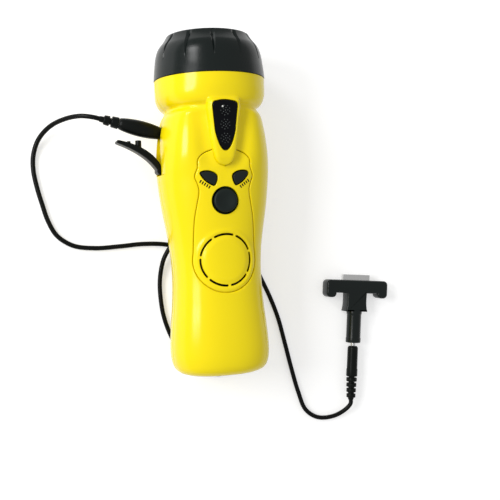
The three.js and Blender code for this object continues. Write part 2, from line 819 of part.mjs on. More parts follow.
function addRearShell(group) {
  const below = block(
    [-bodyHalfWidth - overrun, -overrun, -overrun],
    [bodyHalfWidth + overrun, bodyLength + spigotLength + overrun, axisHeight - gap],
  );
  const pad = raised(
    roundedShape(heelHalfWidth, heelHalfLength, heelCorner, 0, heelStation),
    heelHeight + gap, heelHeight + wall + wall,
  );
  const outer = outerVolume().subtract(saddleVolume(0));
  const inner = innerVolume().subtract(saddleVolume(wall));
  const jackBlock = block(
    [-bodyHalfWidth, recessStart - wall, jackHeight - recessHalfHeight - wall / 2],
    [-recessFloor + padThickness, recessEnd + wall / 2, axisHeight],
  ).intersect(bodySkin(0, 0, bodyLength)).subtract(saddleVolume(0));
  const recess = block(
    [-bodyHalfWidth - overrun, recessStart, jackHeight - recessHalfHeight],
    [-recessFloor, recessEnd, jackHeight + recessHalfHeight],
  );
  let shell = outer.subtract(inner).add(pad).add(jackBlock).intersect(below);
  const rootSeat = bar(
    flapRootRadius + gap, 2 * recessHalfHeight,
    [flapPivotX, flapPivotStation, jackHeight - recessHalfHeight],
  );
  shell = shell.subtract(recess).subtract(rootSeat).subtract(socketSolid(socketRadius + gap, overrun));
  const collar = bar(hubRadius, gearFloorGap - gap + wall, [0, hubStation, saddleHeight]);
  const bearing = bar(arborRadius + wall, gearFloorGap - gap + wall, [0, compoundStation, saddleHeight]);
  shell = shell.add(collar).add(bearing);
  shell = shell.subtract(bar(shaftRadius + gap, highest, [0, hubStation, 0]));
  shell = shell.subtract(bar(arborRadius + gap, highest, [0, compoundStation, saddleHeight + wall / 2]));
  for (const [x, y] of screwPlaces) {
    const base = axisHeight - backOf(y);
    const seat = base + screwSeatDepth;
    const boss = bar(bossRadius, axisHeight - gap - base, [x, y, base], smallSides);
    shell = shell.add(boss.intersect(bodySkin(wall / 2, wall / 2, bodyLength)).intersect(below));
    shell = shell.subtract(bar(screwRadius + gap, highest, [x, y, 0], smallSides));
    const headHole = bar(screwHeadRadius + gap, screwHeadHeight + gap + seat + overrun, [x, y, -overrun]);
    shell = shell.subtract(headHole);
  }
  addPiece(group, "rear_shell", shell, yellow);
}

// Bar along the line of the jack, starting inside the housing
function socketSolid(radius, extra) {
  const length = socketLength + extra;
  const geometry = new THREE.CylinderGeometry(radius, radius, length, roundSides);
  geometry.rotateZ(Math.PI / 2);
  geometry.translate(socketLength / 2 - extra / 2, 0, 0);
  geometry.rotateZ(-THREE.MathUtils.degToRad(jackTilt));
  geometry.translate(-recessFloor, jackStation, jackHeight);
  return solidOf(geometry);
}

function addControlPanel(group) {
  const skin = bodySkin(0, 0, bodyLength).subtract(bodyHollow(panelThickness, wall, bodyLength - wall));
  let panel = raised(panelShape(0), axisHeight, highest).intersect(skin);
  const plateau = raised(discShape(panelRingRadius - gap - gap, 0, speakerStation), axisHeight, highest)
    .intersect(bodySkin(-speakerRise, 0, bodyLength))
    .subtract(bodyHollow(panelThickness, wall, bodyLength - wall));
  panel = panel.add(plateau).subtract(valleyVolume());
  panel = panel.subtract(raised(ridgeShape(gap), axisHeight, highest));
  panel = panel.subtract(buttonHoles(buttonClearance));
  const step = (2 * Math.PI) / slotCount;
  for (let i = 0; i < slotCount; i += 1) {
    const from = step * i + slotBridgeAngle / 2 + slotTurn - Math.PI / 2;
    const to = from + step - slotBridgeAngle;
    const slot = new THREE.Shape();
    slot.absarc(0, speakerStation, slotRadius + slotWidth / 2, from, to, false);
    slot.absarc(0, speakerStation, slotRadius - slotWidth / 2, to, from, true);
    slot.closePath();
    panel = panel.subtract(raised(slot, axisHeight, highest, 5));
  }
  addPiece(group, "control_panel", panel, yellow);
}

// Pushbutton: a cap that follows an outline, on a round stem above its switch
function addButton(group, name, cap, capLevel, [x, y]) {
  const crown = capLevel - buttonDepth;
  const stemBase = mainBoardLevel + boardThickness + gap + switchHeight + buttonTravel + gap;
  const stem = bar(stemRadius, crown - stemBase + gap, [x, y, stemBase], smallSides);
  return addPiece(group, name, cap.add(stem), black);
}

function addButtons(group) {
  const powerLevel = axisHeight + frontOf(powerStation) + powerRise;
  const dished = turned([
    [0, powerLevel - buttonDepth],
    [powerRadius, powerLevel - buttonDepth],
    [powerRadius, powerLevel - powerRise],
    [powerRadius - powerRim / 3, powerLevel - powerRise / 3],
    [powerRadius - powerRim, powerLevel],
    [powerRadius - 2 * powerRim, powerLevel - powerRise / 3],
    [powerRadius / 2, powerLevel - powerRise],
    [0, powerLevel - powerRim],
  ], [0, powerStation, 0], headSides);
  addButton(group, "power_button", dished, powerLevel, [0, powerStation]);
  const leafStation = (leafTopStation + leafTipStation) / 2;
  const leafX = (leafInnerX + leafOuterX) / 2 - leafRise;
  const leafLevel = axisHeight + frontOf(leafStation) + leafRise;
  const leafCap = side => raised(leafShape(side, 0), leafLevel - buttonDepth, leafLevel, 6);
  addButton(group, "scan_button", leafCap(1), leafLevel, [leafX, leafStation]);
  addButton(group, "reset_button", leafCap(-1), leafLevel, [-leafX, leafStation]);
  const places = { power: [0, powerStation], scan: [leafX, leafStation], reset: [-leafX, leafStation] };
  for (const [name, [x, y]] of Object.entries(places)) {
    const base = mainBoardLevel + boardThickness + gap;
    const body = block(
      [x - switchSide / 2, y - switchSide / 2, base],
      [x + switchSide / 2, y + switchSide / 2, base + switchHeight],
    );
    addPiece(group, `${name}_switch`, body, paper);
  }
}

function addSignalLight(group) {
  const lens = raised(windowShape(0), axisHeight, highest)
    .intersect(ridgeSkin(windowRecess))
    .subtract(ridgeSkin(windowRecess + windowThickness));
  addPiece(group, "signal_window", lens, smoked);
  const last = signalLedFirst + (ledCount - 1) * signalLedPitch;
  const board = block(
    [-signalBoardHalfWidth, signalLedFirst - signalLedPitch / 2, signalBoardLevel],
    [signalBoardHalfWidth, last + signalLedPitch / 2, signalBoardLevel + boardThickness],
  );
  addPiece(group, "signal_board", board, circuit);
  for (let i = 0; i < ledCount; i += 1) {
    const led = addPiece(group, `signal_led_${i + 1}`, ledSolid(), white);
    led.position.set(0, signalLedFirst + i * signalLedPitch, signalBoardLevel + boardThickness + gap);
  }
}

// Round light-emitting diode with its flange at the base
function ledSolid() {
  const arc = [];
  for (let i = 0; i <= 3; i += 1) {
    const angle = (Math.PI / 2) * (i / 3);
    arc.push([ledRadius * Math.cos(angle), ledBody - ledRadius + ledRadius * Math.sin(angle)]);
  }
  const rim = ledRadius + ledFlange;
  const foot = [[0, 0], [rim, 0], [rim, ledFlangeHeight], [ledRadius, ledFlangeHeight]];
  arc[arc.length - 1][0] = 0;
  return turned([...foot, ...arc], [0, 0, 0], smallSides);
}

function addHead(group) {
  const base = bodyLength + gap;
  const front = bodyLength + spigotLength + gap;
  const lensBase = front + flangeThickness + gap;
  const sealBase = lensBase + lensThickness + gap;
  const lip = sealBase + sealThickness + gap;
  const tip = bodyLength + bezelLength;
  const profile = [
    [spigotRadius + gap, base],
    [bezelRadius, base],
    [bezelRadius, base + wall],
    ...bezelRoundShares.map(([place, round]) => [
      THREE.MathUtils.lerp(bezelRimRadius, bezelFrontRadius, round),
      THREE.MathUtils.lerp(bezelShoulder, tip, place),
    ]),
    [bezelOpening + gap, tip],
    [bezelOpening, tip - wall / 2],
    [bezelOpening, lip],
    [lensRadius + gap, lip],
    [lensRadius + gap, front],
    [spigotRadius + gap, front],
    [spigotRadius + gap, base],
  ];
  let bezel = turnedAlong(profile, headSides);
  for (let i = 0; i < notchCount; i += 1) {
    const cut = new THREE.BufferGeometry();
    const outside = bezelFrontRadius + overrun;
    const floorFront = bezelRimRadius - notchDepth;
    const floorBack = bezelFrontRadius + notchDepth;
    const [back, ahead] = [tip - notchLength, tip + overrun];
    cut.setFromPoints([
      new THREE.Vector3(0, back, floorBack),
      new THREE.Vector3(-notchHalfWidth / 3, back, outside),
      new THREE.Vector3(notchHalfWidth / 3, back, outside),
      new THREE.Vector3(0, ahead, floorFront),
      new THREE.Vector3(-notchHalfWidth * 2, ahead, outside),
      new THREE.Vector3(notchHalfWidth * 2, ahead, outside),
    ]);
    cut.setIndex([0, 2, 1, 3, 4, 5, 0, 1, 4, 0, 4, 3, 1, 2, 5, 1, 5, 4, 2, 0, 3, 2, 3, 5]);
    cut.rotateY(THREE.MathUtils.degToRad(notchPhase + (360 / notchCount) * i));
    cut.translate(0, 0, axisHeight);
    bezel = bezel.subtract(solidOf(cut));
  }
  addPiece(group, "bezel", bezel, black);
  addPiece(group, "lens", turnedAlong([
    [0, lensBase],
    [lensRadius, lensBase],
    [lensRadius, lensBase + lensThickness],
    [0, lensBase + lensThickness],
  ], headSides), clear);
  addPiece(group, "lens_seal", turnedAlong([
    [lensRadius - sealWidth, sealBase],
    [lensRadius, sealBase],
    [lensRadius, sealBase + sealThickness],
    [lensRadius - sealWidth, sealBase + sealThickness],
    [lensRadius - sealWidth, sealBase],
  ], headSides), rubber);
  addReflector(group, front);
}

// Dish whose wall follows a parabola from its floor to the rim, with the lamps in its floor
function addReflector(group, front) {
  const rim = spigotBore - gap;
  const floor = front + flangeThickness - reflectorDepth;
  const inside = [];
  const steps = 4;
  for (let i = 0; i <= steps; i += 1) {
    const radius = THREE.MathUtils.lerp(reflectorFloor, rim - reflectorWall, i / steps);
    const share = (radius ** 2 - reflectorFloor ** 2) / ((rim - reflectorWall) ** 2 - reflectorFloor ** 2);
    inside.push([radius, floor + reflectorWall + share * (reflectorDepth - reflectorWall)]);
  }
  const outside = inside.map(([radius, y]) => [radius + reflectorWall, y - reflectorWall]);
  outside[steps] = [rim, front];
  const profile = [
    [0, floor],
    ...outside,
    [lensRadius, front],
    [lensRadius, front + flangeThickness],
    ...inside.toReversed(),
    [0, floor + reflectorWall],
  ];
  let dish = turnedAlong(profile, dishSides);
  const boardBase = floor - gap - ledFlangeHeight - gap - boardThickness;
  const holes = new THREE.Group();
  for (let i = 0; i < ledCount; i += 1) {
    const angle = (2 * Math.PI * i) / ledCount;
    const [x, z] = [ledCircle * Math.sin(angle), ledCircle * Math.cos(angle)];
    const led = addPiece(holes, `white_led_${i + 1}`, ledSolid(), clear);
    led.rotation.x = -Math.PI / 2;
    led.position.set(x, boardBase + boardThickness + gap, axisHeight + z);
    const hole = new THREE.CylinderGeometry(ledRadius + gap, ledRadius + gap, reflectorDepth, smallSides);
    hole.translate(x, floor, axisHeight + z);
    dish = dish.subtract(solidOf(hole));
  }
  group.add(holes);
  addPiece(group, "reflector", dish, silver);
  const board = turnedAlong([
    [0, boardBase],
    [reflectorFloor + reflectorWall + wall, boardBase],
    [reflectorFloor + reflectorWall + wall, boardBase + boardThickness],
    [0, boardBase + boardThickness],
  ], roundSides);
  addPiece(group, "lamp_board", board, circuit);
}

// Gear outline with flanks laid between the root and tip of an involute, and some backlash
function gearShape(teeth, turn) {
  const pitch = (gearModule * teeth) / 2;
  const base = pitch * Math.cos(THREE.MathUtils.degToRad(pressureAngle));
  const root = pitch - dedendumShare * gearModule;
  const outer = pitch + addendumShare * gearModule;
  const spread = radius => {
    if (radius <= base) return 0;
    const t = Math.sqrt((radius / base) ** 2 - 1);
    return t - Math.atan(t);
  };
  const halfTooth = radius => Math.PI / (2 * teeth) - backlash / (2 * pitch) + spread(pitch) - spread(radius);
  const shape = new THREE.Shape();
  for (let i = 0; i < teeth; i += 1) {
    const middle = turn + (2 * Math.PI * i) / teeth;
    const corners = [
      [root, -halfTooth(root)],
      [outer, -halfTooth(outer)],
      [outer, halfTooth(outer)],
      [root, halfTooth(root)],
    ];
    corners.forEach(([radius, angle], j) => {
      const [x, y] = [radius * Math.cos(middle + angle), radius * Math.sin(middle + angle)];
      if (i === 0 && j === 0) shape.moveTo(x, y);
      else shape.lineTo(x, y);
    });
  }
  return shape;
}

// Gear body from a level upwards, with a round bore
function gear(teeth, turn, level) {
  return raised(gearShape(teeth, turn), level, level + gearThickness);
}

function addGearTrain(group) {
  const quarter = Math.PI / 2;
  const wheelTurn = quarter;
  const pinionTurn = -quarter + Math.PI / pinionTeeth;
  const crankGear = addPiece(
    group,
    "crank_gear",
    gear(wheelTeeth, wheelTurn, firstLevel).subtract(bar(shaftRadius + gap, highest, [0, 0, 0])),
    brass,
  );
  crankGear.position.set(0, hubStation, 0);
  const arborLow = saddleInside - wall / 2 + gap;
  const arborTop = plateLevel + plateThickness - gap;
  const compound = gear(pinionTeeth, pinionTurn, firstLevel)
    .add(bar(pinionRadius - gearModule - gap, secondLevel - firstLevel, [0, 0, firstLevel]))
    .add(gear(wheelTeeth, wheelTurn, secondLevel))
    .add(bar(arborRadius, arborTop - arborLow, [0, 0, arborLow], smallSides));
  addPiece(group, "compound_gear", compound, white).position.set(0, compoundStation, 0);
  const rotor = gear(pinionTeeth, pinionTurn, secondLevel)
    .add(bar(arborRadius, drumLevel - secondLevel + gap, [0, 0, secondLevel], smallSides))
    .add(bar(rotorRadius, rotorHeight, [0, 0, drumLevel]));
  addPiece(group, "generator_rotor", rotor, steel).position.set(0, rotorStation, 0);
  const inner = statorRadius - statorWall;
  const stator = turned([
    [inner, 0],
    [statorRadius, 0],
    [statorRadius, statorHeight],
    [inner, statorHeight],
    [inner, 0],
  ], [0, rotorStation, drumLevel]);
  addPiece(group, "generator_coil", stator, copper);
  addGearPlate(group);
}

// Plate over the gears, standing on pillars on the saddle floor
function addGearPlate(group) {
  const middle = (hubStation + rotorStation) / 2;
  const pillarX = wheelRadius + pillarRadius + gearModule + wall / 2;
  const start = hubStation - shaftRadius - wall;
  const end = rotorStation + arborRadius + wall;
  const outline = roundedShape(pillarX / 2, (end - start) / 2, pillarRadius, 0, (start + end) / 2);
  let plate = raised(outline, plateLevel, plateLevel + plateThickness, smallSides);
  const bridge = (hubStation + compoundStation) / 2;
  plate = plate.add(block(
    [-pillarX - pillarRadius, bridge - pillarRadius, plateLevel],
    [pillarX + pillarRadius, bridge + pillarRadius, plateLevel + plateThickness],
  ));
  const far = middle + centreDistance / 2 + pillarRadius;
  const farX = pillarX * 0.95;
  plate = plate.add(block(
    [-farX, far - pillarRadius, plateLevel],
    [farX, far + pillarRadius, plateLevel + plateThickness],
  ));
  const footLevel = saddleInside + gap;
  for (const side of [-1, 1]) {
    for (const [x, y] of [[pillarX, bridge], [farX - pillarRadius, far]]) {
      plate = plate.add(bar(pillarRadius, plateLevel - footLevel + gap, [side * x, y, footLevel], smallSides));
    }
  }
  for (const station of [hubStation, compoundStation, rotorStation]) {
    plate = plate.subtract(bar(arborRadius + gap, highest, [0, station, 0], smallSides));
  }
  addPiece(group, "gearbox_plate", plate, steel);
}

// Crank: hub and arm turn on the back, and the knob folds into the fork of the arm
function addCrank(torch) {
  const crank = new THREE.Group();
  crank.position.set(0, hubStation, 0);
  torch.add(crank);
  const hubTop = saddleHeight - gap;
  const hubBase = hubTop - hubThickness;
  const shaftTop = plateLevel + plateThickness - gap;
  const shaftStep = secondLevel - gap;
  const hub = bar(hubRadius, hubThickness, [0, 0, hubBase])
    .add(bar(shaftRadius, shaftStep - hubTop + gap, [0, 0, hubTop - gap]))
    .add(bar(arborRadius, shaftTop - shaftStep + gap, [0, 0, shaftStep - gap], smallSides))
    .subtract(bar(screwRadius + gap, hubThickness + overrun, [0, 0, hubBase - overrun], smallSides));
  addPiece(crank, "crank_hub", hub, black);
  const armTop = hubBase - gap;
  const armBase = armTop - armThickness;
  const forkStart = forkPivot - bracketHalf - knobLength - gap - wall;
  const tip = forkPivot + bracketHalf;
  const outline = new THREE.Shape();
  outline.absarc(0, 0, hubRadius, Math.PI, 2 * Math.PI, false);
  outline.lineTo(armHalfWidth, forkStart);
  outline.lineTo(armHalfWidth, tip - pillarRadius);
  outline.quadraticCurveTo(armHalfWidth, tip, forkHalfGap, tip);
  outline.lineTo(forkHalfGap, forkStart + forkHalfGap);
  outline.quadraticCurveTo(forkHalfGap, forkStart, 0, forkStart);
  outline.quadraticCurveTo(-forkHalfGap, forkStart, -forkHalfGap, forkStart + forkHalfGap);
  outline.lineTo(-forkHalfGap, tip);
  outline.quadraticCurveTo(-armHalfWidth, tip, -armHalfWidth, tip - pillarRadius);
  outline.lineTo(-armHalfWidth, forkStart);
  outline.closePath();
  const level = (armTop + armBase) / 2;
  const pinHole = new THREE.CylinderGeometry(
    hingePinRadius + gap, hingePinRadius + gap, 2 * armHalfWidth + overrun, smallSides,
  );
  pinHole.rotateZ(Math.PI / 2);
  pinHole.translate(0, forkPivot, level);
  const arm = raised(outline, armBase, armTop, 8)
    .subtract(bar(screwRadius + gap, highest, [0, 0, 0], smallSides))
    .subtract(bar(screwHeadRadius + gap, screwHeadHeight + gap, [0, 0, armBase - gap], smallSides))
    .subtract(solidOf(pinHole));
  addPiece(crank, "crank_arm", arm, yellow);
  const screw = bar(screwHeadRadius, screwHeadHeight - gap, [0, 0, armBase])
    .add(bar(screwRadius, armThickness + hubThickness - wall, [0, 0, armBase], smallSides));
  addPiece(crank, "crank_screw", screw, steel);
  addKnob(crank, level);
}

// Knob on its axle, held by a bracket that turns on the hinge pin in the fork
function addKnob(crank, level) {
  const knob = new THREE.Group();
  knob.position.set(0, forkPivot, level);
  crank.add(knob);
  const pin = new THREE.CylinderGeometry(hingePinRadius, hingePinRadius, 2 * armHalfWidth - gap, smallSides);
  pin.rotateZ(Math.PI / 2);
  addPiece(knob, "hinge_pin", solidOf(pin), steel);
  const halfWide = forkHalfGap - gap;
  const axleEnd = -bracketHalf - knobLength + knobEnd;
  const along = (radius, from, to, sides) => {
    const geometry = new THREE.CylinderGeometry(radius, radius, to - from, sides);
    geometry.translate(0, (from + to) / 2, 0);
    return solidOf(geometry);
  };
  const pinSleeve = new THREE.CylinderGeometry(hingePinRadius + gap, hingePinRadius + gap, 4 * halfWide, smallSides);
  pinSleeve.rotateZ(Math.PI / 2);
  const bracket = block([-halfWide, -bracketHalf, -hubThickness + gap], [halfWide, 0, hubThickness - gap])
    .add(roundBarX(hubThickness - gap, halfWide))
    .add(along(axleRadius, axleEnd, -bracketHalf + gap, smallSides))
    .subtract(solidOf(pinSleeve));
  addPiece(knob, "knob_bracket", bracket, steel);
  const from = -bracketHalf - gap - knobLength;
  const to = -bracketHalf - gap;
  const grip = new THREE.LatheGeometry([
    [0, from],
    [knobRadius - knobEnd / 2, from],
    [knobRadius, from + knobEnd],
    [knobRadius - knobEnd / 3, (from + to) / 2],
    [knobRadius, to - knobEnd],
    [knobRadius - knobEnd / 2, to],
    [knobBore, to],
    [knobBore, from + knobEnd - gap],
    [0, from + knobEnd - gap],
  ].map(([r, y]) => new THREE.Vector2(r, y)), knobSides);
  addPiece(knob, "crank_knob", solidOf(grip), black);
}

// Round bar across, centred
function roundBarX(radius, halfLength) {
  const geometry = new THREE.CylinderGeometry(radius, radius, 2 * halfLength, roundSides);
  geometry.rotateZ(Math.PI / 2);
  return solidOf(geometry);
}

function addPower(group) {
  const level = cellLevel;
  const pitch = 2 * (cellRadius + gap);
  for (let i = 0; i < cellCount; i += 1) {
    const x = (i - (cellCount - 1) / 2) * pitch;
    const profile = [
      [0, 0],
      [cellRadius, 0],
      [cellRadius, cellLength - cellTip],
      [cellTipRadius, cellLength - cellTip],
      [cellTipRadius, cellLength],
      [0, cellLength],
    ];
    const geometry = new THREE.LatheGeometry(profile.map(([r, y]) => new THREE.Vector2(r, y)), knobSides);
    const cell = addPiece(group, `battery_cell_${i + 1}`, solidOf(geometry), cellSkin);
    cell.position.set(x, cellStart, level);
  }
  const half = (cellCount * pitch) / 2 + gap + trayWall;
  const floor = level - cellRadius - gap - trayWall;
  const start = cellStart - gap - trayWall;
  const end = cellStart + cellLength + gap + trayWall;
  const tray = block([-half, start, floor], [half, end, level])
    .subtract(block(
      [-half + trayWall, start + trayWall, floor + trayWall],
      [half - trayWall, end - trayWall, level + overrun],
    ));
  addPiece(group, "battery_tray", tray, black);
}

function addSpeaker(group) {
  const top = hollowTop(speakerStation, speakerRadius) - gap - gap;
  const base = cellLevel + cellRadius + speakerClearance;
  const shelf = top - wall;
  const throat = base + (top - base) / 3;
  const frame = turned([
    [0, base],
    [magnetRadius, base],
    [magnetRadius, throat],
    [speakerRadius, shelf],
    [speakerRadius, top],
    [speakerRadius - wall / 2, top],
    [speakerRadius - wall / 2, shelf + gap],
    [magnetRadius - wall / 2, throat + gap + gap],
    [0, throat + gap + gap],
  ], [0, speakerStation, 0]);
  addPiece(group, "speaker_frame", frame, steel);
  const rim = speakerRadius - wall / 2 - gap;
  const cone = turned([
    [0, throat + wall],
    [magnetRadius / 2, throat + wall - gap],
    [magnetRadius, throat + wall],
    [rim, shelf + wall / 2],
    [rim, top],
    [rim - gap - gap, top],
    [magnetRadius / 2, throat + wall + wall / 2],
    [0, throat + wall + wall],
  ], [0, speakerStation, 0]);
  addPiece(group, "speaker_cone", cone, paper);
}

function addBoard(group) {
  const board = block(
    [-mainBoardHalfWidth, mainBoardStart, mainBoardLevel],
    [mainBoardHalfWidth, mainBoardEnd, mainBoardLevel + boardThickness],
  );
  addPiece(group, "main_board", board, circuit);
}

function addScrews(group) {
  screwPlaces.forEach(([x, y], i) => {
    const seat = axisHeight - backOf(y) + screwSeatDepth;
    const screw = bar(screwHeadRadius, screwHeadHeight, [0, 0, 0], smallSides)
      .add(bar(screwRadius, axisHeight - seat + overrun, [0, 0, 0], smallSides));
    addPiece(group, `housing_screw_${i + 1}`, screw, steel).position.set(x, y, seat);
  });
}

function addHeel(group) {
  const shape = roundedShape(heelHalfWidth, heelHalfLength, heelCorner, 0, heelStation);
  addPiece(group, "heel_pad", raised(shape, 0, heelHeight, smallSides), rubber);
}

// Rubber flap: a curved strip from its round root to a thin tip, with a peg that plugs the jack
function addFlap(group) {
  const bend = new THREE.QuadraticBezierCurve(
    new THREE.Vector2(0, 0),
    new THREE.Vector2(-flapReachX * 0.22, flapReachY * 0.68),
    new THREE.Vector2(-flapReachX, flapReachY),
  );
  const steps = 10;
  const [outer, inner] = [[], []];
  for (let i = 0; i <= steps; i += 1) {
    const t = i / steps;
    const point = bend.getPoint(t);
    const tangent = bend.getTangent(t);
    const half = (flapThickness / 2) * (1 - 0.35 * t * t);
    outer.push(new THREE.Vector2(point.x - tangent.y * half, point.y + tangent.x * half));
    inner.push(new THREE.Vector2(point.x + tangent.y * half, point.y - tangent.x * half));
  }
  const strip = new THREE.Shape([...outer, ...inner.toReversed()]);
  const peg = bend.getPoint(flapPegShare);
  const pegShape = roundedShape(
    flapPegHalfWidth, (flapPegHeight + flapThickness) / 2, gap,
    peg.x, peg.y + (flapPegHeight + flapThickness) / 2,
  );
  const flap = raised(strip, -flapHalfHeight, flapHalfHeight)
    .add(bar(flapRootRadius, 2 * flapHalfHeight, [0, 0, -flapHalfHeight]))
    .add(raised(pegShape, -flapPegHalfWidth, flapPegHalfWidth, 3));
  addPiece(group, "jack_cover", flap, rubber).position.set(flapPivotX, flapPivotStation, jackHeight);
}

// Ribbed strain relief along the local X axis, from a start to an end
function reliefSolid(start, length, ringCount, ringRadius) {
  const pitch = length / ringCount;
  const core = lyingBar(reliefCoreRadius, start, start + length, smallSides);
  let relief = core;
  for (let i = 0; i < ringCount; i += 1) {
    const from = start + i * pitch;
    const shrink = 1 - (0.18 * i) / ringCount;
    relief = relief.add(lyingBar(ringRadius * shrink, from, from + pitch * 0.68, knobSides));
  }
  return relief;
}

// Round bar along X between two places
function lyingBar(radius, from, to, sides = roundSides) {
  const geometry = new THREE.CylinderGeometry(radius, radius, to - from, sides);
  geometry.rotateZ(Math.PI / 2);
  geometry.translate((from + to) / 2, 0, 0);
  return solidOf(geometry);
}

// Revolved profile of [radius, place] pairs about the local X axis
function lyingTurned(profile) {
  const geometry = new THREE.LatheGeometry(profile.map(([r, y]) => new THREE.Vector2(r, y)), roundSides);
  geometry.rotateZ(-Math.PI / 2);
  return solidOf(geometry);
}

// Socket in the housing wall and the plug of the lead, on one tilted line
function addJack(torch) {
  const line = new THREE.Group();
  line.position.set(-recessFloor, jackStation, jackHeight);
  line.rotation.z = Math.PI - THREE.MathUtils.degToRad(jackTilt);
  torch.add(line);
  const socket = lyingBar(socketRadius, -socketLength, 0).subtract(
    lyingBar(socketBore, -pinLength - gap, overrun),
  );
  addPiece(line, "jack_socket", socket, black);
  addPiece(line, "plug_pin", lyingBar(pinRadius, -pinLength, 0), silver);
  const start = gap;
  const end = start + plugLength;
  const plug = lyingTurned([
    [0, start],
    [plugRadius - plugNeck, start],
    [plugRadius, start + plugNeck],
    [plugRadius, end - plugNeck],
    [plugRadius - plugNeck, end],
    [0, end],
  ]);
  addPiece(line, "jack_plug", plug, rubber);
  addPiece(line, "plug_relief", reliefSolid(end + gap, reliefLength, 2, reliefRingRadius), rubber);
}

// Route of the lead, chosen by hand: x, y from the tail end, z from the surface
const leadPoints = [
  [-61.0, 145.85, 25.4],
  [-64.8, 146.8, 25.4],
  [-71.5, 147.9, 22.6],
  [-79.5, 147.2, 15.6],
  [-87.2, 143.9, 8.6],
  [-93.2, 137.4, 3.6],
  [-96.2, 129.0, 1.75],
  [-96.6, 120.5, 1.42],
  [-95.1, 111.0, 1.42],
  [-92.6, 101.0, 1.42],
  [-89.8, 91.5, 1.42],
  [-85.2, 83.0, 1.42],
  [-76.5, 77.0, 1.42],
  [-64.0, 75.0, 1.42],
  [-50.0, 75.4, 1.42],
  [-36.0, 76.2, 1.42],
  [-22.0, 75.2, 1.42],
  [-8.5, 71.0, 1.42],
  [3.5, 62.5, 1.42],
  [12.0, 51.0, 1.42],
  [16.6, 38.0, 1.42],
  [18.3, 24.0, 1.42],
  [18.4, 11.0, 1.42],
  [15.8, 1.0, 1.42],
  [8.5, -3.9, 1.42],
  [-1.0, -2.2, 1.42],
  [-10.5, 5.2, 1.42],
  [-18.2, 14.0, 1.42],
  [-23.0, 24.0, 1.42],
  [-25.9, 34.0, 1.42],
  [-27.1, 44.0, 1.42],
  [-27.2, 53.0, 1.55],
  [-26.2, 61.0, 2.5],
  [-24.2, 68.0, 4.0],
  [-19.6, 75.0, 4.9],
  [-12.5, 80.6, 3.6],
  [-3.5, 84.0, 1.9],
  [6.5, 84.6, 1.42],
  [16.5, 81.4, 1.42],
  [25.0, 74.0, 1.42],
  [30.8, 64.0, 1.42],
  [35.0, 53.5, 1.42],
  [40.6, 41.0, 1.42],
  [45.6, 27.0, 1.42],
  [49.2, 12.0, 1.42],
  [52.8, -4.0, 1.42],
  [56.8, -19.5, 1.42],
  [61.2, -31.0, 1.42],
  [69.0, -36.6, 1.42],
  [79.0, -36.4, 1.7],
  [86.4, -32.0, 3.0],
];

function addLead(torch) {
  const exit = new THREE.Vector3(farPlugX, farPlugStation, farPlugLevel);
  const turn = THREE.MathUtils.degToRad(farPlugTurn);
  const back = new THREE.Vector3(Math.sin(turn), -Math.cos(turn), 0);
  const end = exit.clone().addScaledVector(back, gap);
  const before = exit.clone().addScaledVector(back, 2.5 * cordRadius);
  const points = leadPoints.map(point => new THREE.Vector3(...point));
  const route = new THREE.CatmullRomCurve3([...points, before, end], false, "centripetal");
  const section = new THREE.Shape();
  for (let i = 0; i < cordSides; i += 1) {
    const angle = (2 * Math.PI * i) / cordSides;
    const [x, y] = [cordRadius * Math.cos(angle), cordRadius * Math.sin(angle)];
    if (i === 0) section.moveTo(x, y);
    else section.lineTo(x, y);
  }
  const settings = { steps: cordSteps, extrudePath: route, bevelEnabled: false };
  addPiece(torch, "lead_cord", solidOf(new THREE.ExtrudeGeometry(section, settings)), rubber);
}

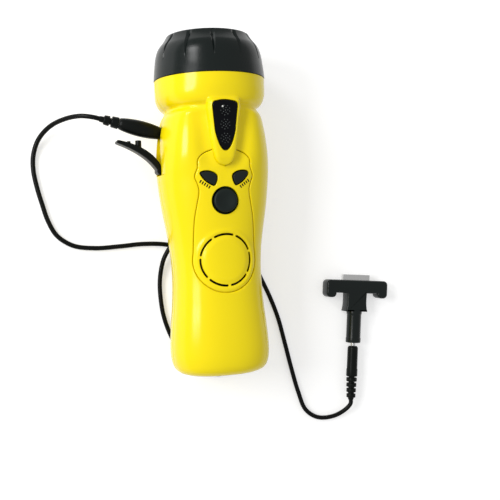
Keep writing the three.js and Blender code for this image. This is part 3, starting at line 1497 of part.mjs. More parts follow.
// Far plug on the surface and the adapter that is pushed onto it
function addAdapter(torch) {
  const line = new THREE.Group();
  line.position.set(farPlugX, farPlugStation, farPlugLevel);
  line.rotation.z = Math.PI / 2 + THREE.MathUtils.degToRad(farPlugTurn);
  torch.add(line);
  const relief = reliefSolid(0, farReliefLength, 4, reliefRingRadius);
  const flipped = addPiece(line, "far_relief", relief, rubber);
  flipped.rotation.z = Math.PI;
  flipped.position.x = farReliefLength;
  const start = farReliefLength + gap;
  const end = start + farPlugLength;
  addPiece(line, "far_plug", lyingTurned([
    [0, start],
    [farPlugRadius, start],
    [farPlugRadius, end - plugNeck],
    [farPlugRadius - plugNeck, end],
    [0, end],
  ]), rubber);
  const pinStart = end + gap;
  addPiece(line, "far_pin", lyingBar(pinRadius, pinStart, pinStart + farGap + pinLength - gap), silver);
  const barrelStart = end + farGap;
  const blockStart = barrelStart + barrelLength;
  const crossStart = blockStart + blockLength;
  const crossEnd = crossStart + crossLength;
  const outline = new THREE.Shape();
  outline.moveTo(blockStart, -blockHalfWidth);
  outline.quadraticCurveTo(blockStart + blockLength / 2, -blockHalfWidth + gap, crossStart, -blockHalfWidth);
  outline.lineTo(crossStart, -crossHalfWidth + 2 * earRadius);
  outline.lineTo(crossStart - earRadius, -crossHalfWidth + 2 * earRadius);
  outline.absarc(crossStart, -crossHalfWidth + earRadius, earRadius, Math.PI, 1.5 * Math.PI, false);
  outline.lineTo(crossEnd - earRadius, -crossHalfWidth);
  outline.quadraticCurveTo(crossEnd, -crossHalfWidth, crossEnd, -crossHalfWidth + earRadius);
  outline.lineTo(crossEnd, crossHalfWidth - earRadius);
  outline.quadraticCurveTo(crossEnd, crossHalfWidth, crossEnd - earRadius, crossHalfWidth);
  outline.lineTo(crossStart, crossHalfWidth);
  outline.absarc(crossStart, crossHalfWidth - earRadius, earRadius, Math.PI / 2, Math.PI, false);
  outline.lineTo(crossStart - earRadius, crossHalfWidth - 2 * earRadius);
  outline.lineTo(crossStart, crossHalfWidth - 2 * earRadius);
  outline.lineTo(crossStart, blockHalfWidth);
  outline.quadraticCurveTo(blockStart + blockLength / 2, blockHalfWidth - gap, blockStart, blockHalfWidth);
  outline.closePath();
  const slot = block(
    [crossEnd - contactLength, -contactHalfWidth - gap, -contactHalfHeight - gap],
    [crossEnd + overrun, contactHalfWidth + gap, contactHalfHeight + gap],
  );
  const adapter = raised(outline, -adapterHalfHeight, adapterHalfHeight, 8)
    .add(lyingBar(barrelRadius, barrelStart, blockStart + gap))
    .subtract(lyingBar(pinRadius + gap, barrelStart - overrun, pinStart + farGap + pinLength))
    .subtract(slot);
  addPiece(line, "charging_adapter", adapter, black);
  const contacts = block(
    [crossEnd - contactLength + gap, -contactHalfWidth, -contactHalfHeight],
    [crossEnd + contactLength, contactHalfWidth, contactHalfHeight],
  );
  addPiece(line, "adapter_contacts", contacts, steel);
}

const torch = new THREE.Group();
torch.name = "hand_crank_flashlight";
addFrontShell(torch);
addRearShell(torch);
addControlPanel(torch);
addButtons(torch);
addSignalLight(torch);
addHead(torch);
addGearTrain(torch);
addCrank(torch);
addPower(torch);
addSpeaker(torch);
addBoard(torch);
addScrews(torch);
addHeel(torch);
addFlap(torch);
addJack(torch);
addLead(torch);
addAdapter(torch);
torch.position.y = -heelStation;

export default torch;
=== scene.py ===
"""Visual model of a hand-cranked torch with a radio panel, a charging lead and its adapter.

Shapes are worked out in millimetres: x across the torch, y as the station along it from the tail,
and z up from the surface that it lies on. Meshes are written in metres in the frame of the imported
model, whose origin is under the heel pad.
"""

from __future__ import annotations

import logging
import math
from collections.abc import Callable
from dataclasses import dataclass, field
from enum import Enum
from functools import reduce

import bpy
import numpy as np
from mathutils import Matrix, Vector

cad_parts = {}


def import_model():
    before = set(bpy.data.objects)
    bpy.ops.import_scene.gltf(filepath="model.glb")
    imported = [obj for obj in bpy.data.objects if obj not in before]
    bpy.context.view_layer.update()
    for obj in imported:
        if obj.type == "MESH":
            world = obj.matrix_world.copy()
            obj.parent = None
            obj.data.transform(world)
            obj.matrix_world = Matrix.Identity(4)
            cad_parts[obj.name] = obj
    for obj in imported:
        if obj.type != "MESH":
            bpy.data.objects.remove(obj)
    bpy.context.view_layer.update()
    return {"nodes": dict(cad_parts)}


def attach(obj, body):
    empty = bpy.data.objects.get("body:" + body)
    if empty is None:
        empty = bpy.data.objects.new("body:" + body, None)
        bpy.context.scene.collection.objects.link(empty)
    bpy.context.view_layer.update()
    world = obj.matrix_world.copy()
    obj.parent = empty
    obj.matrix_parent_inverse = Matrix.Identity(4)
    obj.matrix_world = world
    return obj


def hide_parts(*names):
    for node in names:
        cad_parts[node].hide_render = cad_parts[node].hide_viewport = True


LOG = logging.getLogger("torch")
MM = 0.001
HEEL_STATION = 25.0
AXIS = 31.2
OVERRUN = 6.0
SHARP_ANGLE = 34.0
UPRIGHT = -90.0
FORWARD = 90.0
ABOVE = 3 * AXIS
MOULDING_IOR = 1.49
GRAIN_STRENGTH = 0.35
Triple = tuple[float, float, float]
Height = Callable[[np.ndarray, np.ndarray], np.ndarray]


class Body(Enum):
    """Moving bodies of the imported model."""

    HOUSING = "housing"
    BEZEL = "bezel"
    CRANK = "crank"
    BRACKET = "knob_bracket"
    KNOB = "crank_knob"
    POWER = "power_button"
    SCAN = "scan_button"
    RESET = "reset_button"
    COVER = "jack_cover"
    ADAPTER = "adapter"


class Carving(Enum):
    """What a cutting tool does to a piece."""

    CUT = "DIFFERENCE"
    KEEP = "INTERSECT"
    JOIN = "UNION"


# Finishes.
def set_inputs(node: bpy.types.Node, values: dict[str, object]) -> bpy.types.Node:
    """Sets inputs of a node by name and returns the node."""
    for socket, value in values.items():
        node.inputs[socket].default_value = value
    return node


@dataclass(frozen=True)
class Finish:
    """A moulded, rubber or metal surface with mottled colour, uneven gloss and a fine grain.

    The mottle and the grain are in features per metre, and the relief is in millimetres.
    """

    name: str
    slot: str
    colour: Triple
    second: Triple
    roughness: float = 0.35
    spread: float = 0.08
    metallic: float = 0.0
    specular: float = 0.5
    transmission: float = 0.0
    mottle: float = 30.0
    grain: float = 900.0
    relief: float = 0.01

    def build(self) -> bpy.types.Material:
        """Makes the material once and returns it; its patterns follow Object coordinates."""
        found = bpy.data.materials.get(self.name)
        if found:
            return found
        material = bpy.data.materials.new(self.name)
        material.use_nodes = True
        nodes, links = material.node_tree.nodes, material.node_tree.links
        shader = set_inputs(nodes["Principled BSDF"], {
            "Metallic": self.metallic, "Specular IOR Level": self.specular,
            "Transmission Weight": self.transmission, "IOR": MOULDING_IOR,
        })
        place = nodes.new("ShaderNodeTexCoord").outputs["Object"]
        noises = []
        for scale, detail in ((self.mottle, 3.0), (self.grain, 2.0)):
            noise = set_inputs(nodes.new("ShaderNodeTexNoise"), {"Scale": scale, "Detail": detail})
            links.new(place, noise.inputs["Vector"])
            noises.append(noise.outputs["Fac"])
        cloud, fine = noises
        tone = nodes.new("ShaderNodeMix")
        tone.data_type = "RGBA"
        set_inputs(tone, {"A": (*self.colour, 1.0), "B": (*self.second, 1.0)})
        links.new(cloud, tone.inputs["Factor"])
        links.new(tone.outputs["Result"], shader.inputs["Base Color"])
        gloss = set_inputs(nodes.new("ShaderNodeMapRange"), {
            "From Min": 0.3, "From Max": 0.7,
            "To Min": self.roughness - self.spread / 2, "To Max": self.roughness + self.spread / 2,
        })
        links.new(fine, gloss.inputs["Value"])
        links.new(gloss.outputs["Result"], shader.inputs["Roughness"])
        bump = nodes.new("ShaderNodeBump")
        set_inputs(bump, {"Strength": GRAIN_STRENGTH, "Distance": self.relief * MM})
        links.new(fine, bump.inputs["Height"])
        links.new(bump.outputs["Normal"], shader.inputs["Normal"])
        return material


YELLOW = Finish(
    "lemon_shell", "yellow_plastic", (0.94, 0.755, 0.0025), (0.92, 0.72, 0.0025),
    roughness=0.18, spread=0.04, specular=0.3, mottle=22.0, relief=0.006,
)
CHARCOAL = Finish(
    "charcoal_moulding", "black_plastic", (0.0055, 0.0095, 0.0085), (0.004, 0.007, 0.0065),
    roughness=0.24, spread=0.05, specular=0.27, mottle=40.0, relief=0.012,
)
BUTTON = Finish(
    "button_rubber", "black_plastic", (0.010, 0.016, 0.014), (0.007, 0.011, 0.010),
    roughness=0.42, spread=0.08, specular=0.2, mottle=160.0, grain=2600.0,
)
RUBBER = Finish(
    "soft_black", "black_rubber", (0.004, 0.0055, 0.0045), (0.0025, 0.0035, 0.003),
    roughness=0.34, spread=0.1, specular=0.14, mottle=90.0, grain=1800.0, relief=0.015,
)
CORD_JACKET = Finish(
    "cord_jacket", "black_rubber", (0.003, 0.0035, 0.003), (0.002, 0.0025, 0.002),
    roughness=0.36, spread=0.1, specular=0.14, mottle=60.0, grain=1500.0, relief=0.02,
)
SMOKED = Finish(
    "smoked_window", "smoked_plastic", (0.001, 0.0012, 0.002), (0.002, 0.0022, 0.004),
    roughness=0.1, spread=0.05, specular=0.12, mottle=300.0, grain=1200.0,
)
# Signal pips: their grey, lighter than the window, is partly painted glint; their domes also catch
# real highlights.
PIP_GREY_GLINT = Finish(
    "pip_grey_painted_glint", "smoked_plastic", (0.035, 0.045, 0.04), (0.02, 0.026, 0.024),
    roughness=0.12, specular=0.5, mottle=700.0,
)
CLEAR = Finish(
    "clear_moulding", "clear_plastic", (0.95, 0.97, 0.98), (0.93, 0.96, 0.97),
    roughness=0.05, spread=0.02, transmission=1.0, relief=0.002,
)
MIRROR = Finish(
    "vapour_mirror", "reflector_chrome", (0.88, 0.89, 0.9), (0.84, 0.85, 0.87),
    roughness=0.12, spread=0.04, metallic=1.0, relief=0.004,
)
NICKEL = Finish(
    "nickel_plate", "bright_metal", (0.74, 0.74, 0.73), (0.66, 0.66, 0.66),
    roughness=0.22, spread=0.08, metallic=1.0, relief=0.004,
)
STEEL = Finish(
    "zinc_plate", "steel", (0.56, 0.57, 0.58), (0.47, 0.48, 0.5),
    roughness=0.36, spread=0.12, metallic=1.0, relief=0.006,
)
BRASS = Finish(
    "cut_brass", "brass", (0.7, 0.52, 0.22), (0.6, 0.43, 0.17),
    roughness=0.34, spread=0.12, metallic=1.0,
)
COPPER = Finish(
    "winding_copper", "copper", (0.66, 0.3, 0.14), (0.5, 0.2, 0.09),
    roughness=0.38, spread=0.14, metallic=1.0, grain=2400.0, relief=0.05,
)
CIRCUIT = Finish(
    "solder_resist", "circuit_board", (0.03, 0.2, 0.07), (0.02, 0.15, 0.05),
    roughness=0.4, mottle=400.0, relief=0.02,
)
ACETAL = Finish(
    "white_acetal", "white_plastic", (0.82, 0.82, 0.78), (0.76, 0.76, 0.71),
    roughness=0.42,
)
DARK = Finish(
    "dark_component", "dark_component", (0.03, 0.03, 0.033), (0.02, 0.02, 0.022),
    roughness=0.6,
)
SLEEVE = Finish(
    "cell_sleeve", "cell_sleeve", (0.05, 0.26, 0.11), (0.04, 0.2, 0.08),
    roughness=0.35,
)
BLACKENED = Finish(
    "blackened_steel", "steel", (0.02, 0.012, 0.008), (0.012, 0.008, 0.006),
    roughness=0.6, specular=0.2, mottle=200.0,
)
PRINT = Finish(
    "pad_print", "black_rubber", (0.02, 0.012, 0.004), (0.012, 0.008, 0.003),
    roughness=0.5, specular=0.08, mottle=900.0, grain=3000.0, relief=0.004,
)

# Mesh data.
@dataclass
class Patch:
    """Points in millimetres and faces, each an array of rows with as many corners."""

    points: np.ndarray
    faces: list[np.ndarray]

    def plus(self, other: Patch) -> Patch:
        """Returns both surfaces as one."""
        shift = len(self.points)
        moved = [face + shift for face in other.faces]
        return Patch(np.vstack([self.points, other.points]), [*self.faces, *moved])

    def volume(self) -> float:
        """Returns the signed volume: a sum of tetrahedra from the origin to fans of each face."""
        total = 0.0
        for face in self.faces:
            first = self.points[face[:, 0]]
            for k in range(1, face.shape[1] - 1):
                across = np.cross(self.points[face[:, k]], self.points[face[:, k + 1]])
                total += float(np.einsum("ij,ij->", first, across))
        return total / 6

    def outward(self) -> Patch:
        """Returns the surface with its faces turned outwards."""
        if self.volume() >= 0:
            return self
        return Patch(self.points, [face[:, ::-1] for face in self.faces])

    def placed(self, turn: Matrix) -> Patch:
        """Returns the surface moved by a matrix whose shift is in millimetres."""
        table = np.array(turn)
        return Patch(self.points @ table[:3, :3].T + table[:3, 3], self.faces)

    def welded(self, step: float = 1e-4) -> Patch:
        """Merges corners in one cell of a raster; a quad that loses one is a triangle."""
        keys = np.round(self.points / step).astype(np.int64)
        _, first, owner = np.unique(keys, axis=0, return_index=True, return_inverse=True)
        owner = owner.ravel()
        kept: list[np.ndarray] = []
        for face in self.faces:
            corners = owner[face]
            same = corners == np.roll(corners, -1, axis=1)
            lost = same.sum(axis=1)
            kept.append(corners[lost == 0])
            if face.shape[1] != 4:
                continue
            for k in range(4):
                single = (lost == 1) & same[:, k]
                kept.append(np.delete(corners[single], k, axis=1))
        return Patch(self.points[first], [face for face in kept if len(face)])


def grid_faces(rows: int, columns: int, around: bool = False, closed: bool = False) -> np.ndarray:
    """Quads of a grid whose point (i, j) is number i times columns plus j.

    The last column may join the first, and so may the last row.
    """
    i, j = np.meshgrid(
        np.arange(rows if closed else rows - 1),
        np.arange(columns if around else columns - 1),
        indexing="ij",
    )
    i2, j2 = (i + 1) % rows, (j + 1) % columns
    corners = [i * columns + j, i * columns + j2, i2 * columns + j2, i2 * columns + j]
    return np.stack([c.ravel() for c in corners], axis=1)


def loft(rings: np.ndarray) -> Patch:
    """Solid through closed rings, an array of ring, corner and axis, with flat ends."""
    rows, columns, _ = rings.shape
    ends = np.arange(columns)
    low = ends[::-1][None, :]
    high = (ends + (rows - 1) * columns)[None, :]
    sides = grid_faces(rows, columns, around=True)
    return Patch(rings.reshape(-1, 3), [sides, low, high]).outward()


def slab(top: np.ndarray, bottom: np.ndarray) -> Patch:
    """Solid between two grids of the same size, with walls round their edges."""
    rows, columns, _ = top.shape
    size = rows * columns
    faces = grid_faces(rows, columns)
    number = np.arange(size).reshape(rows, columns)
    edge = np.concatenate([number[0], number[1:, -1], number[-1, -2::-1], number[-2:0:-1, 0]])
    after = np.roll(edge, -1)
    wall = np.stack([after, edge, edge + size, after + size], axis=1)
    points = np.vstack([top.reshape(-1, 3), bottom.reshape(-1, 3)])
    return Patch(points, [faces, faces[:, ::-1] + size, wall]).outward()


def revolved(profile: np.ndarray, columns: int = 64, closed: bool = False) -> Patch:
    """Turns pairs of place and radius about the local x axis, as a solid or as a closed ring.

    Each point goes to (place, radius cos a, radius sin a) for the angles a of a full turn.
    """
    angle = np.linspace(0, 2 * np.pi, columns, endpoint=False)
    place, radius = profile[:, :1], profile[:, 1:]
    along = np.broadcast_to(place, (len(profile), columns))
    rings = np.stack([along, radius * np.cos(angle), radius * np.sin(angle)], axis=2)
    faces = grid_faces(len(profile), columns, around=True, closed=closed)
    return Patch(rings.reshape(-1, 3), [faces]).welded().outward()


def rounded_profile(pairs: list[Triple], steps: int = 5) -> np.ndarray:
    """Rounds the corners of a run of (place, radius, corner radius), each by a quadratic blend."""
    corners = np.array([pair[:2] for pair in pairs], float)
    run = [corners[0]]
    for k in range(1, len(pairs) - 1):
        before, here, after = corners[k - 1 : k + 2]
        reach = pairs[k][2]
        if reach == 0:
            run.append(here)
            continue
        back, ahead = before - here, after - here
        back *= min(reach / np.linalg.norm(back), 0.5)
        ahead *= min(reach / np.linalg.norm(ahead), 0.5)
        t = np.linspace(0, 1, steps + 1)[:, None]
        run.extend((1 - t) ** 2 * (here + back) + 2 * t * (1 - t) * here + t**2 * (here + ahead))
    run.append(corners[-1])
    return np.array(run)


def bezier(points: list[tuple[float, float]], count: int = 24) -> np.ndarray:
    """Points on a Bezier curve of any degree, by repeated blending of its controls."""
    t = np.linspace(0, 1, count)[:, None, None]
    blend = np.broadcast_to(np.array(points, float)[None], (count, len(points), 2))
    while blend.shape[1] > 1:
        blend = (1 - t) * blend[:, :-1] + t * blend[:, 1:]
    return blend[:, 0]


def even_loop(points: np.ndarray, count: int, soften: int = 0) -> np.ndarray:
    """Closed outline with even steps, turning left, after passes of a three-point average."""
    loop = np.vstack([points, points[:1]])
    steps = np.hypot(*np.diff(loop, axis=0).T)
    keep = np.concatenate([[True], steps > 1e-6])
    loop = loop[keep]
    length = np.concatenate([[0.0], np.cumsum(steps[steps > 1e-6])])
    wanted = np.linspace(0, length[-1], count, endpoint=False)
    even = np.stack([np.interp(wanted, length, loop[:, k]) for k in range(2)], axis=1)
    for _ in range(soften):
        even = (np.roll(even, 1, axis=0) + 2 * even + np.roll(even, -1, axis=0)) / 4
    after = np.roll(even, -1, axis=0)
    area = np.sum(even[:, 0] * after[:, 1] - after[:, 0] * even[:, 1])
    return even if area > 0 else even[::-1]


def unit(vectors: np.ndarray) -> np.ndarray:
    """Directions of the rows of an array."""
    return vectors / np.linalg.norm(vectors, axis=1, keepdims=True)


def grown(outline: np.ndarray, margin: float) -> np.ndarray:
    """Outline moved outwards along its normals by a margin."""
    along = unit(np.roll(outline, -1, axis=0) - np.roll(outline, 1, axis=0))
    return outline + margin * np.stack([along[:, 1], -along[:, 0]], axis=1)


def distance_to(run: np.ndarray, x: np.ndarray, y: np.ndarray) -> np.ndarray:
    """Least distance from places to an open run of points, segment by segment."""
    best = np.full(x.shape, np.inf)
    for start, end in zip(run[:-1], run[1:], strict=True):
        step = end - start
        share = ((x - start[0]) * step[0] + (y - start[1]) * step[1]) / float(step @ step)
        share = np.clip(share, 0, 1)
        off_x, off_y = x - start[0] - share * step[0], y - start[1] - share * step[1]
        best = np.minimum(best, np.hypot(off_x, off_y))
    return best


def ray(angle: np.ndarray | float) -> np.ndarray:
    """Unit directions in the plane at angles."""
    return np.stack([np.cos(angle), np.sin(angle)], axis=-1)


def mirrored(right: np.ndarray) -> np.ndarray:
    """A run of points, then its mirror image about the middle on the way back."""
    return np.vstack([right, right[::-1] * np.array([-1.0, 1.0])])


def disc(radius: float, x: float, y: float, count: int = 96) -> np.ndarray:
    """Round outline about a centre."""
    return radius * ray(np.linspace(0, 2 * np.pi, count, endpoint=False)) + np.array([x, y])


def round_box(
    half_x: float, half_y: float, corner: float, x: float, y: float, count: int = 120
) -> np.ndarray:
    """Rectangular outline with round corners about a centre."""
    quarter = np.linspace(0, np.pi / 2, 9)
    arcs = []
    for turn, (sx, sy) in enumerate([(1, 1), (-1, 1), (-1, -1), (1, -1)]):
        centre = np.array([x + sx * (half_x - corner), y + sy * (half_y - corner)])
        arcs.append(centre + corner * ray(quarter + turn * np.pi / 2))
    return even_loop(np.vstack(arcs), count)


def at_level(outline: np.ndarray, level: np.ndarray | float) -> np.ndarray:
    """Ring of an outline at one height, or at a height for each corner."""
    return np.column_stack([outline, np.broadcast_to(level, len(outline))])


def prism(outline: np.ndarray, low: float, high: float) -> Patch:
    """Straight solid over an outline."""
    return loft(np.array([at_level(outline, low), at_level(outline, high)]))


def pillow(outline: np.ndarray, low: float, high: float, edge: float, steps: int = 4) -> Patch:
    """Solid over an outline whose two rims are quarter rounds of a radius."""
    rounds = edge * (1 - ray(np.linspace(0, np.pi / 2, steps + 1)))
    rings = [at_level(grown(outline, -inset), low + rise) for rise, inset in rounds]
    rings += [at_level(grown(outline, -inset), high - rise) for rise, inset in rounds[::-1]]
    return loft(np.array(rings))


def rim_tool(outline: np.ndarray, face: Height, low: float, rim: float, opens: bool) -> Patch:
    """Upright solid over an outline, with a rounded rim where it meets a curved face.

    The wall rises to one rim radius under the face, bends through two thirds of a quarter round and
    goes on in a straight line through the face, outwards for a hole and inwards for a plate.
    """
    side = 1.0 if opens else -1.0
    rings = [at_level(outline, low)]
    for angle in np.linspace(0, np.pi / 3, 5):
        flat = grown(outline, side * rim * (1 - math.cos(angle)))
        rings.append(at_level(flat, face(*flat.T) - rim * (1 - math.sin(angle))))
    last = grown(outline, side * rim * (0.5 + math.sin(np.pi / 3)))
    rings += [at_level(last, face(*last.T) + 0.37 * rim), at_level(last, 2 * AXIS + OVERRUN)]
    return loft(np.array(rings))


def layer(face: Height, box: Triple, low: float, high: float, step: float) -> Patch:
    """Slab between two heights over a face, on a grid over (half width, first and last station)."""
    half, first, last = box
    across = np.linspace(-half, half, int(2 * half / step) + 1)
    along = np.linspace(first, last, int((last - first) / step) + 1)
    x, y = np.meshgrid(across, along)
    z = face(x, y)
    return slab(np.stack([x, y, z + high], axis=2), np.stack([x, y, z + low], axis=2))


def span(*parts: tuple[float, float, int]) -> np.ndarray:
    """Rising stations from runs of a start, an end and a count."""
    return np.unique(np.concatenate([np.linspace(*part) for part in parts]))


def facing(turn_axis: str, degrees: float, place: Triple) -> Matrix:
    """Matrix that turns about an axis and moves to a place in millimetres."""
    return Matrix.Translation(place) @ Matrix.Rotation(math.radians(degrees), 4, turn_axis)


def rod(radius: float, start: float, end: float) -> np.ndarray:
    """Profile of a plain cylinder between two places."""
    return np.array([[start, 0], [start, radius], [end, radius], [end, 0]])


def lying(
    profile: np.ndarray, columns: int, place: Triple, degrees: float = FORWARD, closed: bool = False
) -> Patch:
    """Turned solid or ring whose axis is level, turned from the x axis by an angle."""
    return revolved(profile, columns, closed).placed(facing("Z", degrees, place))


def standing(profile: np.ndarray, columns: int, place: Triple) -> Patch:
    """Turned solid whose axis points up."""
    return revolved(profile, columns).placed(facing("Y", UPRIGHT, place))


# Objects.
def add_object(name: str, patch: Patch) -> bpy.types.Object:
    """Puts a surface in a mesh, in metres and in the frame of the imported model."""
    mesh = bpy.data.meshes.new(name)
    points = (patch.points - np.array([0.0, HEEL_STATION, 0.0])) * MM
    faces = [row for face in patch.faces for row in face.tolist()]
    mesh.from_pydata(points.tolist(), [], faces)
    mesh.validate()
    mesh.update()
    piece = bpy.data.objects.new(name, mesh)
    bpy.context.scene.collection.objects.link(piece)
    return piece


def carve(
    piece: bpy.types.Object, tool: Patch | bpy.types.Object, how: Carving = Carving.CUT
) -> None:
    """Cuts, keeps or joins a solid with a tool, which is used up, in the piece's own mesh."""
    cutter = add_object("tool", tool) if isinstance(tool, Patch) else tool
    modifier = piece.modifiers.new("carving", "BOOLEAN")
    modifier.solver = "MANIFOLD"
    modifier.operation = how.value
    modifier.object = cutter
    before = len(piece.data.vertices)
    graph = bpy.context.evaluated_depsgraph_get()
    result = bpy.data.meshes.new_from_object(piece.evaluated_get(graph))
    if len(result.vertices) in (0, before):
        LOG.warning("%s: a tool left it with %d corners", piece.name, len(result.vertices))
    piece.modifiers.clear()
    old, tool_mesh = piece.data, cutter.data
    piece.data = result
    bpy.data.objects.remove(cutter)
    bpy.data.meshes.remove(old)
    bpy.data.meshes.remove(tool_mesh)


def plate(
    name: str, outline: np.ndarray, face: Height, box: Triple, sides: tuple[float, float],
    step: float, foot: float, rim: float, opens: bool = False,
) -> bpy.types.Object:
    """Layer between two heights over a face, cut to an outline with a rounded rim."""
    piece = add_object(name, layer(face, box, *sides, step))
    carve(piece, rim_tool(outline, face, foot, rim, opens), Carving.KEEP)
    return piece


def mark_sharp(mesh: bpy.types.Mesh, limit: float) -> None:
    """Shades a mesh smooth, but for the edges whose two faces meet at more than a limit in degrees.

    The faces that share an edge stand beside each other once the face corners are sorted by edge.
    """
    mesh.shade_smooth()
    corner_edges = np.empty(len(mesh.loops), np.int32)
    mesh.loops.foreach_get("edge_index", corner_edges)
    totals = np.empty(len(mesh.polygons), np.int32)
    mesh.polygons.foreach_get("loop_total", totals)
    normals = np.empty(len(mesh.polygons) * 3, np.float32)
    mesh.polygons.foreach_get("normal", normals)
    normals = normals.reshape(-1, 3)
    owners = np.repeat(np.arange(len(totals)), totals)
    order = np.argsort(corner_edges, kind="stable")
    edges, owners = corner_edges[order], owners[order]
    paired = np.flatnonzero(edges[1:] == edges[:-1])
    cosine = np.einsum("ij,ij->i", normals[owners[paired]], normals[owners[paired + 1]])
    sharp = np.zeros(len(mesh.edges), bool)
    sharp[edges[paired]] = cosine < math.cos(math.radians(limit))
    mesh.edges.foreach_set("use_edge_sharp", sharp)


def dress(
    piece: bpy.types.Object, finish: Finish, body: Body, *nodes: str, limit: float = SHARP_ANGLE
) -> bpy.types.Object:
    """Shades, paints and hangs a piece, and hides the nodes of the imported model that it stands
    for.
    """
    mark_sharp(piece.data, limit)
    piece.data.materials.clear()
    piece.data.materials.append(finish.build())
    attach(piece, body.value)
    if nodes:
        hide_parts(*nodes)
    LOG.info("%s: %d corners, on %s", piece.name, len(piece.data.vertices), body.value)
    return piece


def make(name: str, patch: Patch, finish: Finish, body: Body, *nodes: str) -> bpy.types.Object:
    """Adds and dresses a piece from its surface."""
    return dress(add_object(name, patch), finish, body, *nodes)


# Numbers.
def sample(table: np.ndarray, place: np.ndarray | float, column: int) -> np.ndarray:
    """Value of a column of a table at a place, by cubics with the slopes between neighbours."""
    keys, values = table[:, 0], table[:, column]
    rows = np.arange(len(keys))
    low, high = np.maximum(rows - 1, 0), np.minimum(rows + 1, len(keys) - 1)
    slopes = (values[high] - values[low]) / (keys[high] - keys[low])
    clamped = np.clip(place, keys[0], keys[-1])
    row = np.clip(np.searchsorted(keys, clamped) - 1, 0, len(keys) - 2)
    width = keys[row + 1] - keys[row]
    t = (clamped - keys[row]) / width
    t2, t3 = t * t, t * t * t
    return (
        (2 * t3 - 3 * t2 + 1) * values[row]
        + (t3 - 2 * t2 + t) * slopes[row] * width
        + (3 * t2 - 2 * t3) * values[row + 1]
        + (t3 - t2) * slopes[row + 1] * width
    )


def smooth_step(value: np.ndarray | float, low: float, high: float) -> np.ndarray:
    """Rises from 0 to 1 between two values, level at both ends."""
    t = np.clip((np.asarray(value) - low) / (high - low), 0, 1)
    return t * t * (3 - 2 * t)


def smooth_fall(value: np.ndarray | float, low: float, high: float) -> np.ndarray:
    """Falls from 1 to 0 between two values, level at both ends."""
    return smooth_step(-np.asarray(value), -high, -low)


def bell(value: np.ndarray | float, place: np.ndarray | float, width: float) -> np.ndarray:
    """Bell curve of height 1 about a place."""
    return np.exp(-(((value - place) / width) ** 2))


def smooth_top(a: np.ndarray, b: np.ndarray, width: float) -> np.ndarray:
    """Larger of two heights, with a fillet where they are closer than a width."""
    share = np.maximum(width - np.abs(a - b), 0) / width
    return np.maximum(a, b) + share * share * width / 4


def height_of(face: Height, x: float, y: float) -> float:
    """Height of a face at one spot."""
    return float(face(np.float64(x), np.float64(y)))


# Form of the housing.
SECTION_SHARES = np.array([
    [0.0, 0.64, 0.5, 0.66], [0.006, 0.735, 0.56, 0.745], [0.018, 0.81, 0.62, 0.825],
    [0.036, 0.852, 0.66, 0.868], [0.066, 0.878, 0.683, 0.883], [0.11, 0.878, 0.687, 0.885],
    [0.18, 0.85, 0.672, 0.885], [0.26, 0.81, 0.65, 0.885], [0.35, 0.792, 0.637, 0.885],
    [0.43, 0.815, 0.65, 0.885], [0.5, 0.87, 0.682, 0.885], [0.57, 0.934, 0.722, 0.885],
    [0.64, 0.98, 0.765, 0.885], [0.705, 1.0, 0.806, 0.885], [0.765, 0.985, 0.838, 0.885],
    [0.82, 0.945, 0.853, 0.885], [0.865, 0.892, 0.855, 0.88], [0.89, 0.846, 0.862, 0.878],
    [0.901, 0.848, 0.857, 0.868], [0.912, 0.898, 0.902, 0.905], [0.935, 0.96, 0.943, 0.957],
    [0.963, 0.984, 0.976, 0.984], [1.0, 0.993, 0.993, 0.993],
])
RIDGE_SHARES = np.array([
    [0.0, 0.0, 0.0], [0.012, 0.2, 0.06], [0.03, 0.35, 0.15], [0.06, 0.48, 0.26], [0.12, 0.6, 0.42],
    [0.3, 0.76, 0.56], [0.55, 0.87, 0.74], [0.8, 1.0, 0.95], [0.93, 0.98, 1.0], [1.0, 0.8, 1.0],
])
PANEL_SHARES = np.array([
    [0.37, 0.93], [0.5, 0.86], [0.63, 0.79], [0.7, 0.84], [0.765, 0.915], [0.84, 0.83],
    [0.915, 0.81], [0.97, 0.62], [1.0, 0.36],
])


